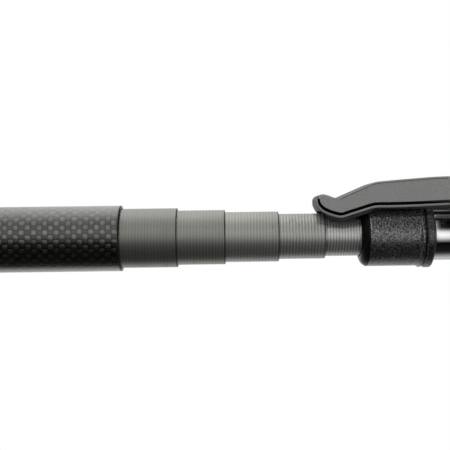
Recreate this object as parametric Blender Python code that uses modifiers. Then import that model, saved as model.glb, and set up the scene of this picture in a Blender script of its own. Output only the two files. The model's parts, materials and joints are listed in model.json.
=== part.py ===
"""Prism pole: six telescoping carbon tubes, a clamp head with a cam lever, and a mast with a prism seat.

The pole stands upright with its point at the origin and +Z up. The cam lever is on the -X side and
the bubble level on the +X side. Lengths are millimetres; MM turns them into metres.
"""

import math

import bmesh
import bpy
from mathutils import Matrix

NAME = "prism_pole"
MM = 0.001
FACETS = 28                   # round the pole, the same for every nested piece
PIN_FACETS = 24               # round the lever pin and its holes
SCREW_FACETS = 16             # round the set screw and the clamp screw
SMALL_FACETS = 12             # round the level screws
GAP = 0.3                     # clearance between pieces that rest on each other
RUN = 0.06                    # radial running clearance of the foot bushes

# butt tube, the outermost one
BUTT_TOP = 346.0
BUTT_R, BUTT_BORE, BUTT_MOUTH = 12.70, 11.85, 11.52

# nested sections: outer radius, bore radius, mouth radius (None is a plain bore), top height
SECTIONS = {
    2: (11.40, 10.90, 10.61, BUTT_TOP + 21.8),
    3: (10.49, 10.05, 9.77, BUTT_TOP + 40.1),
    4: (9.65, 9.14, 8.83, BUTT_TOP + 60.6),
    5: (8.71, 8.20, 7.89, BUTT_TOP + 78.25),
    6: (7.77, 7.00, None, BUTT_TOP + 130.0),
}

# lock body and the lever pivot at its mid height
LOCK_Z0, LOCK_Z1, LOCK_R = 476.0, 508.0, 12.0
PIVOT_Z = (LOCK_Z0 + LOCK_Z1) / 2
PIVOT_U = 16.2                # distance from the pole axis towards -X
PIVOT = (-PIVOT_U, 0, PIVOT_Z)
PIN_R = 1.5
PIN_HOLE_R, PIN_HOLE_HALF = PIN_R + 0.1, 14.0

# rotations that lay a turned piece on its side
ALONG_Y = (math.radians(90), 0, 0)      # local +Z becomes world -Y
ALONG_X = (0, math.radians(90), 0)      # local +Z becomes world +X

# finishes
STEEL = dict(colour=(0.55, 0.55, 0.56), roughness=0.28, metallic=1.0)
CHROME = dict(colour=(0.78, 0.78, 0.79), roughness=0.08, metallic=1.0)
BLACK_ALU = dict(colour=(0.045, 0.045, 0.045), roughness=0.42, metallic=0.6)
CARBON_WEAVE = dict(colour=(0.10, 0.10, 0.095), roughness=0.22)
CARBON_WRAP = dict(colour=(0.17, 0.17, 0.165), roughness=0.38)
RUBBER = dict(colour=(0.03, 0.03, 0.03), roughness=0.8)
NYLON = dict(colour=(0.70, 0.68, 0.62), roughness=0.55)
BLACK_PLASTIC = dict(colour=(0.05, 0.05, 0.05), roughness=0.45)
GREY_PLASTIC = dict(colour=(0.16, 0.16, 0.16), roughness=0.42)
WHITE_COAT = dict(colour=(0.80, 0.80, 0.78), roughness=0.40)
GLASS = dict(colour=(0.55, 0.80, 0.35), roughness=0.05)

for old in list(bpy.data.objects):
    bpy.data.objects.remove(old, do_unlink=True)

parts = bpy.data.collections.new(NAME)
cutters = bpy.data.collections.new(NAME + "_cutters")
bpy.context.scene.collection.children.link(parts)
bpy.context.scene.collection.children.link(cutters)


# ---------------------------------------------------------------- objects and modifiers
def material(name, colour, roughness, metallic=0.0):
    mat = bpy.data.materials.new(name)
    mat.use_nodes = True
    shader = mat.node_tree.nodes["Principled BSDF"]
    shader.inputs["Base Color"].default_value = (*colour, 1.0)
    shader.inputs["Roughness"].default_value = roughness
    shader.inputs["Metallic"].default_value = metallic
    mat.diffuse_color = (*colour, 1.0)
    return mat


def add(name, mesh, finish):
    """Link a mesh as a part, or as a hidden boolean tool if it has no finish."""
    obj = bpy.data.objects.new(name, mesh)
    if finish:
        parts.objects.link(obj)
        mesh.materials.append(material(name + "_finish", **finish))
    else:
        cutters.objects.link(obj)
        obj.hide_render = True
        obj.display_type = "WIRE"
    return obj


def boolean(obj, tool, operation="DIFFERENCE"):
    mod = obj.modifiers.new(tool.name, "BOOLEAN")
    mod.operation = operation
    mod.solver = "EXACT"
    mod.object = tool


def lathe(name, profile, finish, facets=FACETS, at=(0, 0, 0), turn=(0, 0, 0)):
    """A (radius, height) profile turned round local Z. It is closed unless both ends are on the axis."""
    edges = [(i, i + 1) for i in range(len(profile) - 1)]
    if profile[0][0] > 0 or profile[-1][0] > 0:
        edges.append((len(profile) - 1, 0))
    mesh = bpy.data.meshes.new(name)
    mesh.from_pydata([(radius * MM, 0.0, z * MM) for radius, z in profile], edges, [])
    obj = add(name, mesh, finish)
    screw = obj.modifiers.new("turn", "SCREW")
    screw.axis = "Z"
    screw.angle = 2 * math.pi
    screw.steps = facets
    screw.render_steps = facets
    screw.use_merge_vertices = True
    screw.merge_threshold = 0.00001
    screw.use_smooth_shade = True
    obj.location = [c * MM for c in at]
    obj.rotation_euler = turn
    return obj


def drill(obj, name, radius, high, low, facets=FACETS, at=(0, 0, 0), turn=(0, 0, 0)):
    """Cut a round hole between two local heights."""
    profile = [(0, high), (radius, high), (radius, low), (0, low)]
    boolean(obj, lathe(name, profile, None, facets, at, turn))


def slab(name, outline, half, finish, matrix, round_edge=0.0, holes=()):
    """A flat outline extruded by half each way from its plane, baked to a mesh."""
    curve = bpy.data.curves.new(name + "_curve", "CURVE")
    curve.dimensions = "2D"
    curve.fill_mode = "BOTH"
    curve.extrude = (half - round_edge) * MM
    if round_edge:
        curve.bevel_depth = round_edge * MM
        curve.bevel_resolution = 1
        curve.offset = -round_edge * MM
    for loop in (outline, *holes):
        spline = curve.splines.new("POLY")
        spline.points.add(len(loop) - 1)
        for point, (x, y) in zip(spline.points, loop):
            point.co = (x * MM, y * MM, 0.0, 1.0)
        spline.use_cyclic_u = True
    holder = bpy.data.objects.new(name + "_curve", curve)
    parts.objects.link(holder)
    holder.matrix_world = matrix
    bpy.context.view_layer.update()
    mesh = bpy.data.meshes.new_from_object(holder)
    bm = bmesh.new()
    bm.from_mesh(mesh)
    # the caps and the sides come unjoined
    bmesh.ops.remove_doubles(bm, verts=bm.verts, dist=0.000005)
    bmesh.ops.recalc_face_normals(bm, faces=bm.faces)
    bm.to_mesh(mesh)
    bm.free()
    mesh.name = name
    mesh.materials.clear()
    obj = add(name, mesh, finish)
    obj.matrix_world = holder.matrix_world.copy()
    bpy.data.objects.remove(holder, do_unlink=True)
    return obj


def box(name, x_span, y_span, z_span, finish=None):
    """A cuboid from (low, high) pairs."""
    spans = (x_span, y_span, z_span)
    size = [(high - low) * MM for low, high in spans]
    centre = [(low + high) / 2 * MM for low, high in spans]
    placing = Matrix.Translation(centre) @ Matrix.Diagonal((*size, 1.0))
    bm = bmesh.new()
    bmesh.ops.create_cube(bm, size=1.0, matrix=placing)
    mesh = bpy.data.meshes.new(name)
    bm.to_mesh(mesh)
    bm.free()
    return add(name, mesh, finish)


# ---------------------------------------------------------------- outlines and planes
def arc(centre_x, centre_y, radius, start, end, steps):
    """Points on an arc between two angles in degrees, both ends included."""
    angles = [math.radians(start + (end - start) * i / steps) for i in range(steps + 1)]
    return [(centre_x + radius * math.cos(angle), centre_y + radius * math.sin(angle))
            for angle in angles]


def hexagon(corner_r):
    angles = [math.radians(60 * i + 30) for i in range(6)]
    return [(corner_r * math.cos(angle), corner_r * math.sin(angle)) for angle in angles]


def round_hole(radius, facets):
    """A clockwise circle, for a hole in a slab."""
    return arc(0, 0, radius, 0, 360 * (facets - 1) / facets, facets - 1)[::-1]


def catmull_rom(before, start, end, after, part):
    """The value at a fraction of the way from start to end."""
    return 0.5 * (2 * start + (end - before) * part
                  + (2 * before - 5 * start + 4 * end - after) * part * part
                  + (3 * start - before - 3 * end + after) * part ** 3)


def smooth_line(points, steps):
    """An open Catmull-Rom line through the points, with this many steps between neighbours."""
    line = []
    for i in range(len(points) - 1):
        before, after = points[max(i - 1, 0)], points[min(i + 2, len(points) - 1)]
        around = list(zip(before, points[i], points[i + 1], after))
        for k in range(steps):
            line.append(tuple(catmull_rom(*values, k / steps) for values in around))
    line.append(points[-1])
    return line


def from_pivot(points):
    """Turn (height, distance from the pole axis) into coordinates on PIVOT_PLANE."""
    return [(z - PIVOT_Z, distance - PIVOT_U) for z, distance in points]


# upright plane through the pivot: local x is world +Z, local y is -X, local z is -Y
PIVOT_PLANE = Matrix(((0, -1, 0, -PIVOT_U * MM), (0, 0, -1, 0), (1, 0, 0, PIVOT_Z * MM), (0, 0, 0, 1)))


def level_plane(z):
    return Matrix.Translation((0, 0, z * MM))


# ---------------------------------------------------------------- foot of the pole
COLLAR_Z0, COLLAR_Z1, COLLAR_FLATS = 30.0, 36.0, 16.0
SHANK_R, SHANK_TOP = 4.8, 70.0
CAP_Z0, CAP_SHOULDER, CAP_TOP, CAP_BORE = 44.0, 54.0, 72.0, 5.1
PLUG_R = BUTT_BORE - GAP                # part of the cap inside the butt tube
NUT_HALF, NUT_FLATS = 3.6, 18.0
BUMPER_Z0, BUMPER_Z1, BUMPER_R = 50.0, 68.0, 15.0
PAD_Z0, PAD_Z1, PAD_R = CAP_TOP + GAP, 75.8, 11.5

# steel point, with a hexagonal collar
point = lathe("steel_point", [
    (0, SHANK_TOP), (SHANK_R - 0.4, SHANK_TOP), (SHANK_R, SHANK_TOP - 0.4),
    (SHANK_R, COLLAR_Z1 + 0.6), (7.0, COLLAR_Z1), (9.24, COLLAR_Z1), (9.24, COLLAR_Z0),
    (7.2, COLLAR_Z0), (7.2, 26.0), (5.5, 22.0), (4.6, 17.0), (1.1, 0.5), (0.9, 0.0), (0, 0)], STEEL)
boolean(point, slab("point_flats", hexagon(COLLAR_FLATS / math.sqrt(3)), 45.0, None,
                    level_plane(COLLAR_Z1)), "INTERSECT")

# nut under the butt cap
slab("jam_nut", hexagon(NUT_FLATS / math.sqrt(3)), NUT_HALF, STEEL,
     level_plane(CAP_Z0 - GAP - NUT_HALF), round_edge=0.4, holes=[round_hole(CAP_BORE, 24)])

# cap plugged into the foot of the butt tube
lathe("butt_cap", [
    (PLUG_R - 0.35, CAP_TOP), (PLUG_R, CAP_TOP - 0.4), (PLUG_R, CAP_SHOULDER),
    (BUTT_R, CAP_SHOULDER), (BUTT_R, CAP_Z0 + 1.2), (BUTT_R - 1.2, CAP_Z0),
    (CAP_BORE + 0.2, CAP_Z0), (CAP_BORE, CAP_Z0 + 0.2), (CAP_BORE, CAP_TOP - 1.6),
    (CAP_BORE + 0.5, CAP_TOP)], BLACK_ALU)

# rubber ring round the foot of the butt tube
lathe("butt_bumper", [
    (BUMPER_R - 1.1, BUMPER_Z1), (BUMPER_R - 0.4, BUMPER_Z1 - 0.7), (BUMPER_R, BUMPER_Z1 - 2.0),
    (BUMPER_R, BUMPER_Z0 + 0.6), (BUMPER_R - 0.6, BUMPER_Z0), (BUTT_R + GAP, BUMPER_Z0),
    (BUTT_R + GAP, BUMPER_Z1)], RUBBER)

# pad on top of the cap, inside the butt tube
lathe("cushion_pad", [
    (0, PAD_Z1), (PAD_R - 0.2, PAD_Z1), (PAD_R, PAD_Z1 - 0.2), (PAD_R, PAD_Z0 + 0.2),
    (PAD_R - 0.2, PAD_Z0), (0, PAD_Z0)], RUBBER)

# ---------------------------------------------------------------- telescoping tubes
NEST_Z = 77.0                 # foot of every nested section when the pole is closed
BUSH_LEN = 20.0
BUTT_LIP_Z = BUTT_TOP - 10.0  # where the butt bore narrows to its mouth
LIP_LEN = 8.0                 # length of the narrow mouth of a nested section
RING_R, RING_TOP = 12.72, BUTT_TOP + 0.25
RING_FOOT = RING_TOP - 0.5


def tube(name, outer_r, bore, foot, top, finish, edge, mouth=None, lip_z=None):
    """A tube with chamfered outer edges. With a mouth, the bore narrows to it at lip_z."""
    outside = [(outer_r - edge, top), (outer_r, top - edge), (outer_r, foot + edge), (outer_r - edge, foot)]
    inside = [(bore, foot)]
    if mouth:
        inside += [(bore, lip_z), (mouth, lip_z)]
    inside.append((mouth or bore, top))
    lathe(name, outside + inside, finish)


def foot_bush(name, bush_r, foot, rim_r, seat_r):
    """A bush round the foot of a tube, with an inward rim below it."""
    rim_z0, rim_z1, top = foot - 0.8, foot - 0.1, foot + BUSH_LEN
    lathe(name, [(bush_r, top), (bush_r, rim_z0), (rim_r, rim_z0), (rim_r, rim_z1),
                 (seat_r, rim_z1), (seat_r, top)], NYLON)


tube("butt_tube", BUTT_R, BUTT_BORE, CAP_SHOULDER + GAP, RING_FOOT - 0.15, CARBON_WEAVE,
     edge=0.1, mouth=BUTT_MOUTH, lip_z=BUTT_LIP_Z)

# ring on the top of the butt tube
lathe("mouth_ring", [
    (RING_R - 0.22, RING_TOP), (RING_R, RING_TOP - 0.2), (RING_R, RING_FOOT),
    (BUTT_MOUTH, RING_FOOT), (BUTT_MOUTH, RING_TOP)], BLACK_PLASTIC)

# each section has a bush that runs in the bore of the tube round it
around_bore = BUTT_BORE
for number, (outer_r, bore, mouth, top) in SECTIONS.items():
    tube(f"section_{number}", outer_r, bore, NEST_Z, top, CARBON_WRAP,
         edge=0.12, mouth=mouth, lip_z=top - LIP_LEN)
    foot_bush(f"foot_bush_{number}", around_bore - RUN, NEST_Z, bore + 0.05, outer_r + 0.05)
    around_bore = bore

# ---------------------------------------------------------------- collar on the sixth section
NOSE_Z, NOSE_R = BUTT_TOP + 91.5, 11.95
SLEEVE_Z, SLEEVE_TOP, SLEEVE_R, LIP_R = BUTT_TOP + 94.4, BUTT_TOP + 115.3, 11.85, 12.5
FLANGE_Z, FLANGE_TOP, FLANGE_R = BUTT_TOP + 115.7, BUTT_TOP + 120.0, 12.6
CORE_R, CORE_BORE = 9.5, 8.07
OVER_CORE_R = CORE_R + GAP

# rounded ring under the grip sleeve
lathe("nose_ring", [
    (NOSE_R, SLEEVE_Z - GAP), (NOSE_R, NOSE_Z + 2.4), (NOSE_R - 0.35, NOSE_Z + 1.7),
    (NOSE_R - 0.65, NOSE_Z + 1.15), (NOSE_R - 1.1, NOSE_Z + 0.65), (NOSE_R - 1.65, NOSE_Z + 0.25),
    (NOSE_R - 2.3, NOSE_Z), (8.7, NOSE_Z), (CORE_BORE, NOSE_Z + 0.3),
    (CORE_BORE, SLEEVE_Z - GAP)], BLACK_PLASTIC)

# plain core inside the sleeve and the flange
lathe("collar_core", [
    (CORE_R, FLANGE_TOP), (CORE_R, SLEEVE_Z), (CORE_BORE, SLEEVE_Z), (CORE_BORE, FLANGE_TOP)], BLACK_ALU)

# sleeve with a lip at its top
lathe("grip_sleeve", [
    (LIP_R - 0.2, SLEEVE_TOP), (LIP_R, SLEEVE_TOP - 0.2), (LIP_R, SLEEVE_TOP - 0.75),
    (SLEEVE_R + 0.3, SLEEVE_TOP - 1.1), (SLEEVE_R, SLEEVE_TOP - 1.6), (SLEEVE_R, SLEEVE_Z + 0.4),
    (SLEEVE_R - 0.4, SLEEVE_Z), (OVER_CORE_R, SLEEVE_Z), (OVER_CORE_R, SLEEVE_TOP)], RUBBER)

# flange above the sleeve
lathe("flange_ring", [
    (10.1, FLANGE_TOP), (FLANGE_R - 1.1, FLANGE_Z + 3.55), (FLANGE_R - 0.3, FLANGE_Z + 3.15),
    (FLANGE_R, FLANGE_Z + 2.8), (FLANGE_R, FLANGE_Z + 0.3), (FLANGE_R - 0.3, FLANGE_Z),
    (OVER_CORE_R, FLANGE_Z), (OVER_CORE_R, FLANGE_TOP)], BLACK_ALU)

# ---------------------------------------------------------------- ferrule and lock
FERRULE_Z0, FERRULE_Z1 = FLANGE_TOP + GAP, 482.0
FERRULE_R, FERRULE_BORE, FERRULE_MOUTH = 9.9, 7.95, 6.25
FERRULE_STEP = SECTIONS[6][3] + GAP     # the bore narrows above the sixth section
LOCK_BORE, LOCK_MOUTH = 10.15, 6.2
CHEEK_R, CHEEK_DEPTH, CHEEK_HALF = 5.5, 8.0, 7.4
SLOT_HALF, SLOT_HALF_HEIGHT = 4.3, 7.0
WINDOW_HALF, WINDOW_HALF_HEIGHT = 3.5, 5.7
WIPER_R, WIPER_BORE, WIPER_Z0, WIPER_Z1 = 10.0, 6.15, LOCK_Z1 + GAP, LOCK_Z1 + 3.0

lathe("ferrule", [
    (FERRULE_R - 0.3, FERRULE_Z1), (FERRULE_R, FERRULE_Z1 - 0.3), (FERRULE_R, FERRULE_Z0 + 0.3),
    (FERRULE_R - 0.3, FERRULE_Z0), (FERRULE_BORE, FERRULE_Z0), (FERRULE_BORE, FERRULE_STEP),
    (FERRULE_MOUTH, FERRULE_STEP), (FERRULE_MOUTH, FERRULE_Z1)], CHROME)

# lock body: cheeks towards -X hold the pin, with the cam slot between them
lock = lathe("lock_body", [
    (LOCK_R - 2.0, LOCK_Z1), (LOCK_R - 0.7, LOCK_Z1 - 0.6), (LOCK_R, LOCK_Z1 - 2.0),
    (LOCK_R, LOCK_Z0 + 1.0), (LOCK_R - 0.8, LOCK_Z0), (LOCK_BORE, LOCK_Z0),
    (LOCK_BORE, FERRULE_Z1 + GAP), (LOCK_MOUTH, FERRULE_Z1 + GAP), (LOCK_MOUTH, LOCK_Z1)], BLACK_ALU)
cheek_outline = ([(-CHEEK_R, -CHEEK_DEPTH)] + arc(0, 0, CHEEK_R, 180, 0, 10)
                 + [(CHEEK_R, -CHEEK_DEPTH)])
boolean(lock, slab("lock_cheeks", cheek_outline, CHEEK_HALF, None, PIVOT_PLANE), "UNION")
boolean(lock, box("lock_slot", (-30.0, -9.6), (-SLOT_HALF, SLOT_HALF),
                  (PIVOT_Z - SLOT_HALF_HEIGHT, PIVOT_Z + SLOT_HALF_HEIGHT)))
boolean(lock, box("lock_window", (-12.0, -4.0), (-WINDOW_HALF, WINDOW_HALF),
                  (PIVOT_Z - WINDOW_HALF_HEIGHT, PIVOT_Z + WINDOW_HALF_HEIGHT)))
drill(lock, "lock_pin_hole", PIN_HOLE_R, PIN_HOLE_HALF, -PIN_HOLE_HALF, PIN_FACETS, PIVOT, ALONG_Y)

# rubber cap on top of the lock body
lathe("wiper_cap", [
    (WIPER_R - 1.4, WIPER_Z1), (WIPER_R - 0.4, WIPER_Z1 - 0.8), (WIPER_R, WIPER_Z1 - 2.0),
    (WIPER_R, WIPER_Z0), (WIPER_BORE, WIPER_Z0), (WIPER_BORE, WIPER_Z1)], RUBBER)

# lever pin, head towards -Y and clip towards +Y
lathe("pivot_pin", [
    (0, 12.6), (2.3, 12.6), (2.6, 12.3), (2.6, 11.1), (PIN_R, 11.1), (PIN_R, -12.2),
    (PIN_R - 0.3, -12.5), (0, -12.5)], STEEL, PIN_FACETS, PIVOT, ALONG_Y)
lathe("pin_clip", [(3.0, 0.35), (3.0, -0.35), (PIN_R + 0.05, -0.35), (PIN_R + 0.05, 0.35)], STEEL,
      PIN_FACETS, (-PIVOT_U, 11.6, PIVOT_Z), ALONG_Y)

# ---------------------------------------------------------------- cam lever
LEVER_HALF, HOLLOW_HALF = 10.8, 8.8     # half widths of the channel
HUB_R = 6.2
CAM_R, CAM_OFFSET, CAM_HALF = 5.5, 0.8, 4.0

# (height, distance from the axis): down the outer edge, round the tip and back up
LEVER_EDGE = [
    (470.0, 21.95), (464.6, 21.8), (455.6, 21.2), (448.0, 20.65), (443.9, 20.3), (442.0, 19.95),
    (440.0, 19.16), (436.0, 17.45), (432.0, 15.74), (429.6, 14.75), (428.3, 14.4), (427.0, 14.5),
    (424.6, 15.5), (422.3, 15.95), (420.95, 14.7), (420.65, 12.9), (421.3, 11.0), (422.6, 8.95),
    (424.4, 7.45), (426.75, 6.28), (428.8, 5.6), (430.4, 5.4), (433.6, 6.4), (437.7, 7.7),
    (440.2, 8.5), (442.2, 9.55), (444.4, 9.85)]
# straight runs on either side of the hub, same columns
EDGE_TO_HUB = [(466.0, 9.86), (482.0, 10.05)]
EDGE_FROM_HUB = [(480.0, 22.05)]
# hollow cut out between the lever sides, same columns
HOLLOW = [
    (462.0, 32.0), (462.0, 19.45), (455.6, 19.0), (448.0, 18.4), (444.0, 18.0), (441.4, 17.4),
    (437.0, 15.6), (432.4, 13.6), (429.3, 12.3), (427.0, 12.2), (425.2, 12.9), (424.0, 13.2),
    (423.2, 12.4), (423.0, 11.2), (423.0, 9.6), (414.0, 9.2), (414.0, -4.0), (506.0, -4.0),
    (506.0, 32.0)]
# tail of the cam below the pivot, (up, outwards) from the pivot
CAM_TAIL = [(-32.0, 5.0), (-32.0, 3.7), (-16.0, 1.6), (-9.5, 0.2)]

lever_outline = (from_pivot(smooth_line(LEVER_EDGE, 2) + EDGE_TO_HUB)
                 + arc(0, 0, HUB_R, -82, 84, 12) + from_pivot(EDGE_FROM_HUB))
lever = slab("cam_lever", lever_outline, LEVER_HALF, GREY_PLASTIC, PIVOT_PLANE, round_edge=0.5)
boolean(lever, slab("lever_hollow", from_pivot(HOLLOW), HOLLOW_HALF, None, PIVOT_PLANE))
cam_outline = CAM_TAIL + arc(0, -CAM_OFFSET, CAM_R, 190, 450, 22) + [(-8.0, 5.3)]
boolean(lever, slab("lever_cam", cam_outline, CAM_HALF, None, PIVOT_PLANE), "UNION")
drill(lever, "lever_pin_hole", PIN_HOLE_R, PIN_HOLE_HALF, -PIN_HOLE_HALF, PIN_FACETS, PIVOT, ALONG_Y)

# ---------------------------------------------------------------- brake shoe and pad
SHOE_FACE = PIVOT_U - CAM_R - CAM_OFFSET - 0.15     # just clear of the cam
BRAKE_Y = (-3.2, 3.2)
BRAKE_Z = (PIVOT_Z - 5.4, PIVOT_Z + 5.4)

box("brake_shoe", (-SHOE_FACE, -7.9), BRAKE_Y, BRAKE_Z, STEEL)
# the pad is hollowed to fit round the mast
pad = box("brake_pad", (-7.9 + GAP, -5.5), BRAKE_Y, BRAKE_Z, RUBBER)
drill(pad, "pad_bore", 6.15, 520.0, 470.0)

# ---------------------------------------------------------------- mast and prism seat
MAST_R, MAST_BORE = 6.0, 4.8
MAST_Z0, MAST_Z1 = 227.0, 521.0
SEAT_Z, SEAT_R = 528.0, 12.5
STUD_TOP, STUD_R = 544.0, 7.94
STUD_FOOT_R = STUD_R + 0.56
SKIRT_Z, SKIRT_R = 512.2, 9.5
SET_SCREW_AT, SET_SCREW_OUT = (0, 0, 517.0), 9.3

tube("mast_tube", MAST_R, MAST_BORE, MAST_Z0, MAST_Z1, WHITE_COAT, edge=0.3)
foot_bush("mast_foot_bush", SECTIONS[6][1] - RUN, MAST_Z0, MAST_BORE, MAST_R + 0.06)

# adapter over the top of the mast: stud, seat and skirt
adapter = lathe("top_adapter", [
    (0, STUD_TOP), (STUD_R - 0.9, STUD_TOP), (STUD_R, STUD_TOP - 0.9), (STUD_R, SEAT_Z - 0.5),
    (STUD_FOOT_R, SEAT_Z - 0.5), (STUD_FOOT_R, SEAT_Z), (SEAT_R, SEAT_Z), (SEAT_R, SEAT_Z - 3.2),
    (SEAT_R - 0.8, SEAT_Z - 4.0), (SKIRT_R, SEAT_Z - 4.0), (SKIRT_R, SKIRT_Z + 0.6),
    (SKIRT_R - 0.6, SKIRT_Z), (MAST_R + GAP, SKIRT_Z), (MAST_R + GAP, MAST_Z1 + GAP),
    (0, MAST_Z1 + GAP)], BLACK_ALU)
drill(adapter, "adapter_screw_hole", 2.3, 13.0, 5.0, SCREW_FACETS, SET_SCREW_AT, ALONG_X)

# set screw in the +X side of the skirt, with a hexagonal socket
set_screw = lathe("set_screw", [
    (0, SET_SCREW_OUT), (1.9, SET_SCREW_OUT), (2.0, 9.1), (2.0, 6.7), (1.6, 6.2), (0, 6.2)], STEEL,
    SCREW_FACETS, SET_SCREW_AT, ALONG_X)
socket_plane = Matrix(((0, 0, 1, SET_SCREW_OUT * MM), (0, 1, 0, 0),
                       (-1, 0, 0, SET_SCREW_AT[2] * MM), (0, 0, 0, 1)))
boolean(set_screw, slab("set_screw_socket", hexagon(1.1), 1.3, None, socket_plane))

# ---------------------------------------------------------------- level clamp on the butt
CLAMP_Z0, CLAMP_Z1 = 227.0, 241.0
CLAMP_MID, CLAMP_HALF = (CLAMP_Z0 + CLAMP_Z1) / 2, (CLAMP_Z1 - CLAMP_Z0) / 2
BAND_IN, BAND_OUT = BUTT_R + GAP, 16.2
EAR_X, EAR_IN, EAR_OUT = 25.0, 1.2, 5.6     # reach towards -X, inner and outer faces in Y
EAR_SCREW_AT = (-20.8, 0, CLAMP_MID)
HEAD_SEAT = EAR_OUT + GAP
EAR_NUT_HALF = 1.6
LEVEL_X = 32.0
ARM_Z0, ARM_Z1 = CLAMP_Z0 + 1.0, 232.6
ARM_ROOT_X, ARM_NECK_X = 14.6, LEVEL_X - 13.0

# split band with two ears towards -X
ear_out_angle = 180 - math.degrees(math.asin(EAR_OUT / BAND_OUT))
ear_in_angle = 180 - math.degrees(math.asin(EAR_IN / BAND_IN))
band_outline = ([(-EAR_X, -EAR_IN), (-EAR_X, -EAR_OUT)]
                + arc(0, 0, BAND_OUT, -ear_out_angle, ear_out_angle, 32)
                + [(-EAR_X, EAR_OUT), (-EAR_X, EAR_IN)]
                + arc(0, 0, BAND_IN, ear_in_angle, -ear_in_angle, 32))
clamp = slab("level_clamp", band_outline, CLAMP_HALF, BLACK_PLASTIC, level_plane(CLAMP_MID))

# arm towards +X with a round end under the level
arm_outline = ([(ARM_ROOT_X, -6.5), (ARM_NECK_X, -7.5)] + arc(LEVEL_X, 0, 15.0, -150, 150, 24)
               + [(ARM_NECK_X, 7.5), (ARM_ROOT_X, 6.5)])
boolean(clamp, slab("level_arm", arm_outline, (ARM_Z1 - ARM_Z0) / 2, None,
                    level_plane((ARM_Z0 + ARM_Z1) / 2)), "UNION")
drill(clamp, "clamp_screw_hole", 2.15, 9.0, -9.0, SCREW_FACETS, EAR_SCREW_AT, ALONG_Y)

# screw through the ears, head towards -Y and nut towards +Y
lathe("level_clamp_screw", [
    (0, 9.4), (3.2, 9.4), (3.6, 9.0), (3.6, HEAD_SEAT), (2.0, HEAD_SEAT), (2.0, -10.4),
    (1.6, -10.8), (0, -10.8)], STEEL, SCREW_FACETS, EAR_SCREW_AT, ALONG_Y)
ear_nut_plane = Matrix(((1, 0, 0, EAR_SCREW_AT[0] * MM), (0, 0, -1, (HEAD_SEAT + EAR_NUT_HALF) * MM),
                        (0, 1, 0, CLAMP_MID * MM), (0, 0, 0, 1)))
slab("level_clamp_nut", hexagon(4.04), EAR_NUT_HALF, STEEL, ear_nut_plane, holes=[round_hole(2.1, 16)])

# ---------------------------------------------------------------- bubble level
CUP_Z = ARM_Z1 + GAP
CUP_TOP, CUP_FLOOR, CUP_FLANGE_TOP = CUP_Z + 11.0, CUP_Z + 2.0, CUP_Z + 2.6
CUP_R, CUP_BORE, CUP_FLANGE_R = 10.2, 8.6, 14.8
VIAL_R = CUP_BORE - GAP
CUP_SCREW_CIRCLE = 12.4
CUP_HOLE = dict(radius=1.35, high=240.0, low=224.0, facets=SMALL_FACETS)

cup = lathe("level_cup", [
    (CUP_R - 0.4, CUP_TOP), (CUP_R, CUP_TOP - 0.4), (CUP_R, CUP_FLANGE_TOP),
    (CUP_FLANGE_R - 0.4, CUP_FLANGE_TOP), (CUP_FLANGE_R, CUP_FLANGE_TOP - 0.4),
    (CUP_FLANGE_R, CUP_Z), (0, CUP_Z), (0, CUP_FLOOR), (CUP_BORE, CUP_FLOOR),
    (CUP_BORE, CUP_TOP)], BLACK_PLASTIC, at=(LEVEL_X, 0, 0))
lathe("level_vial", [
    (0, CUP_Z + 10.6), (4.4, CUP_Z + 10.4), (7.9, CUP_Z + 9.8), (VIAL_R, CUP_Z + 9.2),
    (VIAL_R, CUP_FLOOR + GAP), (0, CUP_FLOOR + GAP)], GLASS, at=(LEVEL_X, 0, 0))

# three screws through the cup flange and the arm
for i in range(3):
    angle = math.radians(60 + 120 * i)
    place = (LEVEL_X + CUP_SCREW_CIRCLE * math.cos(angle), CUP_SCREW_CIRCLE * math.sin(angle), 0)
    drill(cup, f"cup_hole_{i + 1}", at=place, **CUP_HOLE)
    drill(clamp, f"arm_hole_{i + 1}", at=place, **CUP_HOLE)
    lathe(f"level_screw_{i + 1}", [
        (0, CUP_Z + 4.3), (1.4, CUP_Z + 4.3), (1.9, CUP_Z + 3.8), (1.9, CUP_Z + 2.7),
        (1.15, CUP_Z + 2.7), (1.15, 226.6), (0, 226.6)], STEEL, SMALL_FACETS, place)

bpy.context.view_layer.update()
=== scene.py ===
"""A telescopic carbon survey pole with a cam-lever clamp head, a mast and a bubble level.

The pole stands on its steel point along +Z, its axis at x = y = 0. The cam lever lies on
the -X side, the bubble level on the +X side, and the camera looks along +Y with +Z running
to the right of its view. Sizes are millimetres; meshes are scaled to metres as they are made.
Profiles are (radius, height) points turned round Z, running down the outer side.
"""

import json
import math
from functools import cached_property

import bmesh
import bpy
import numpy as np
from mathutils import Matrix, Vector


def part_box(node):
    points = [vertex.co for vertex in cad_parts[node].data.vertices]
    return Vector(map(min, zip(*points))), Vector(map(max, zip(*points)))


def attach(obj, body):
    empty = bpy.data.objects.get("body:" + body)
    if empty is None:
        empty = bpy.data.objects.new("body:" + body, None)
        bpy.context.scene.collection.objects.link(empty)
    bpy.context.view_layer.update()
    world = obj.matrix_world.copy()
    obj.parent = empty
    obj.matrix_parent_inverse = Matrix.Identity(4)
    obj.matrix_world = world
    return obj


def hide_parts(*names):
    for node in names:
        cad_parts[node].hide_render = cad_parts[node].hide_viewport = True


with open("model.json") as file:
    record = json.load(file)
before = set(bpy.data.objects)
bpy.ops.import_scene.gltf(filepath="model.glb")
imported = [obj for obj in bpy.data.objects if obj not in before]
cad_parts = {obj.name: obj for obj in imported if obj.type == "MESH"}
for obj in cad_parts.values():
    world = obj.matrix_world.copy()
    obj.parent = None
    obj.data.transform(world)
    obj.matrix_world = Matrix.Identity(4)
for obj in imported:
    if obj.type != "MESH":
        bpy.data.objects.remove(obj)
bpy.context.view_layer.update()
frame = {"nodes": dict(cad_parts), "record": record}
MM = 0.001
TAU = 2 * math.pi
RNG = np.random.default_rng(11)
CORE = 0.001              # radius of the pinhole that stands in for the axis of a solid

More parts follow.
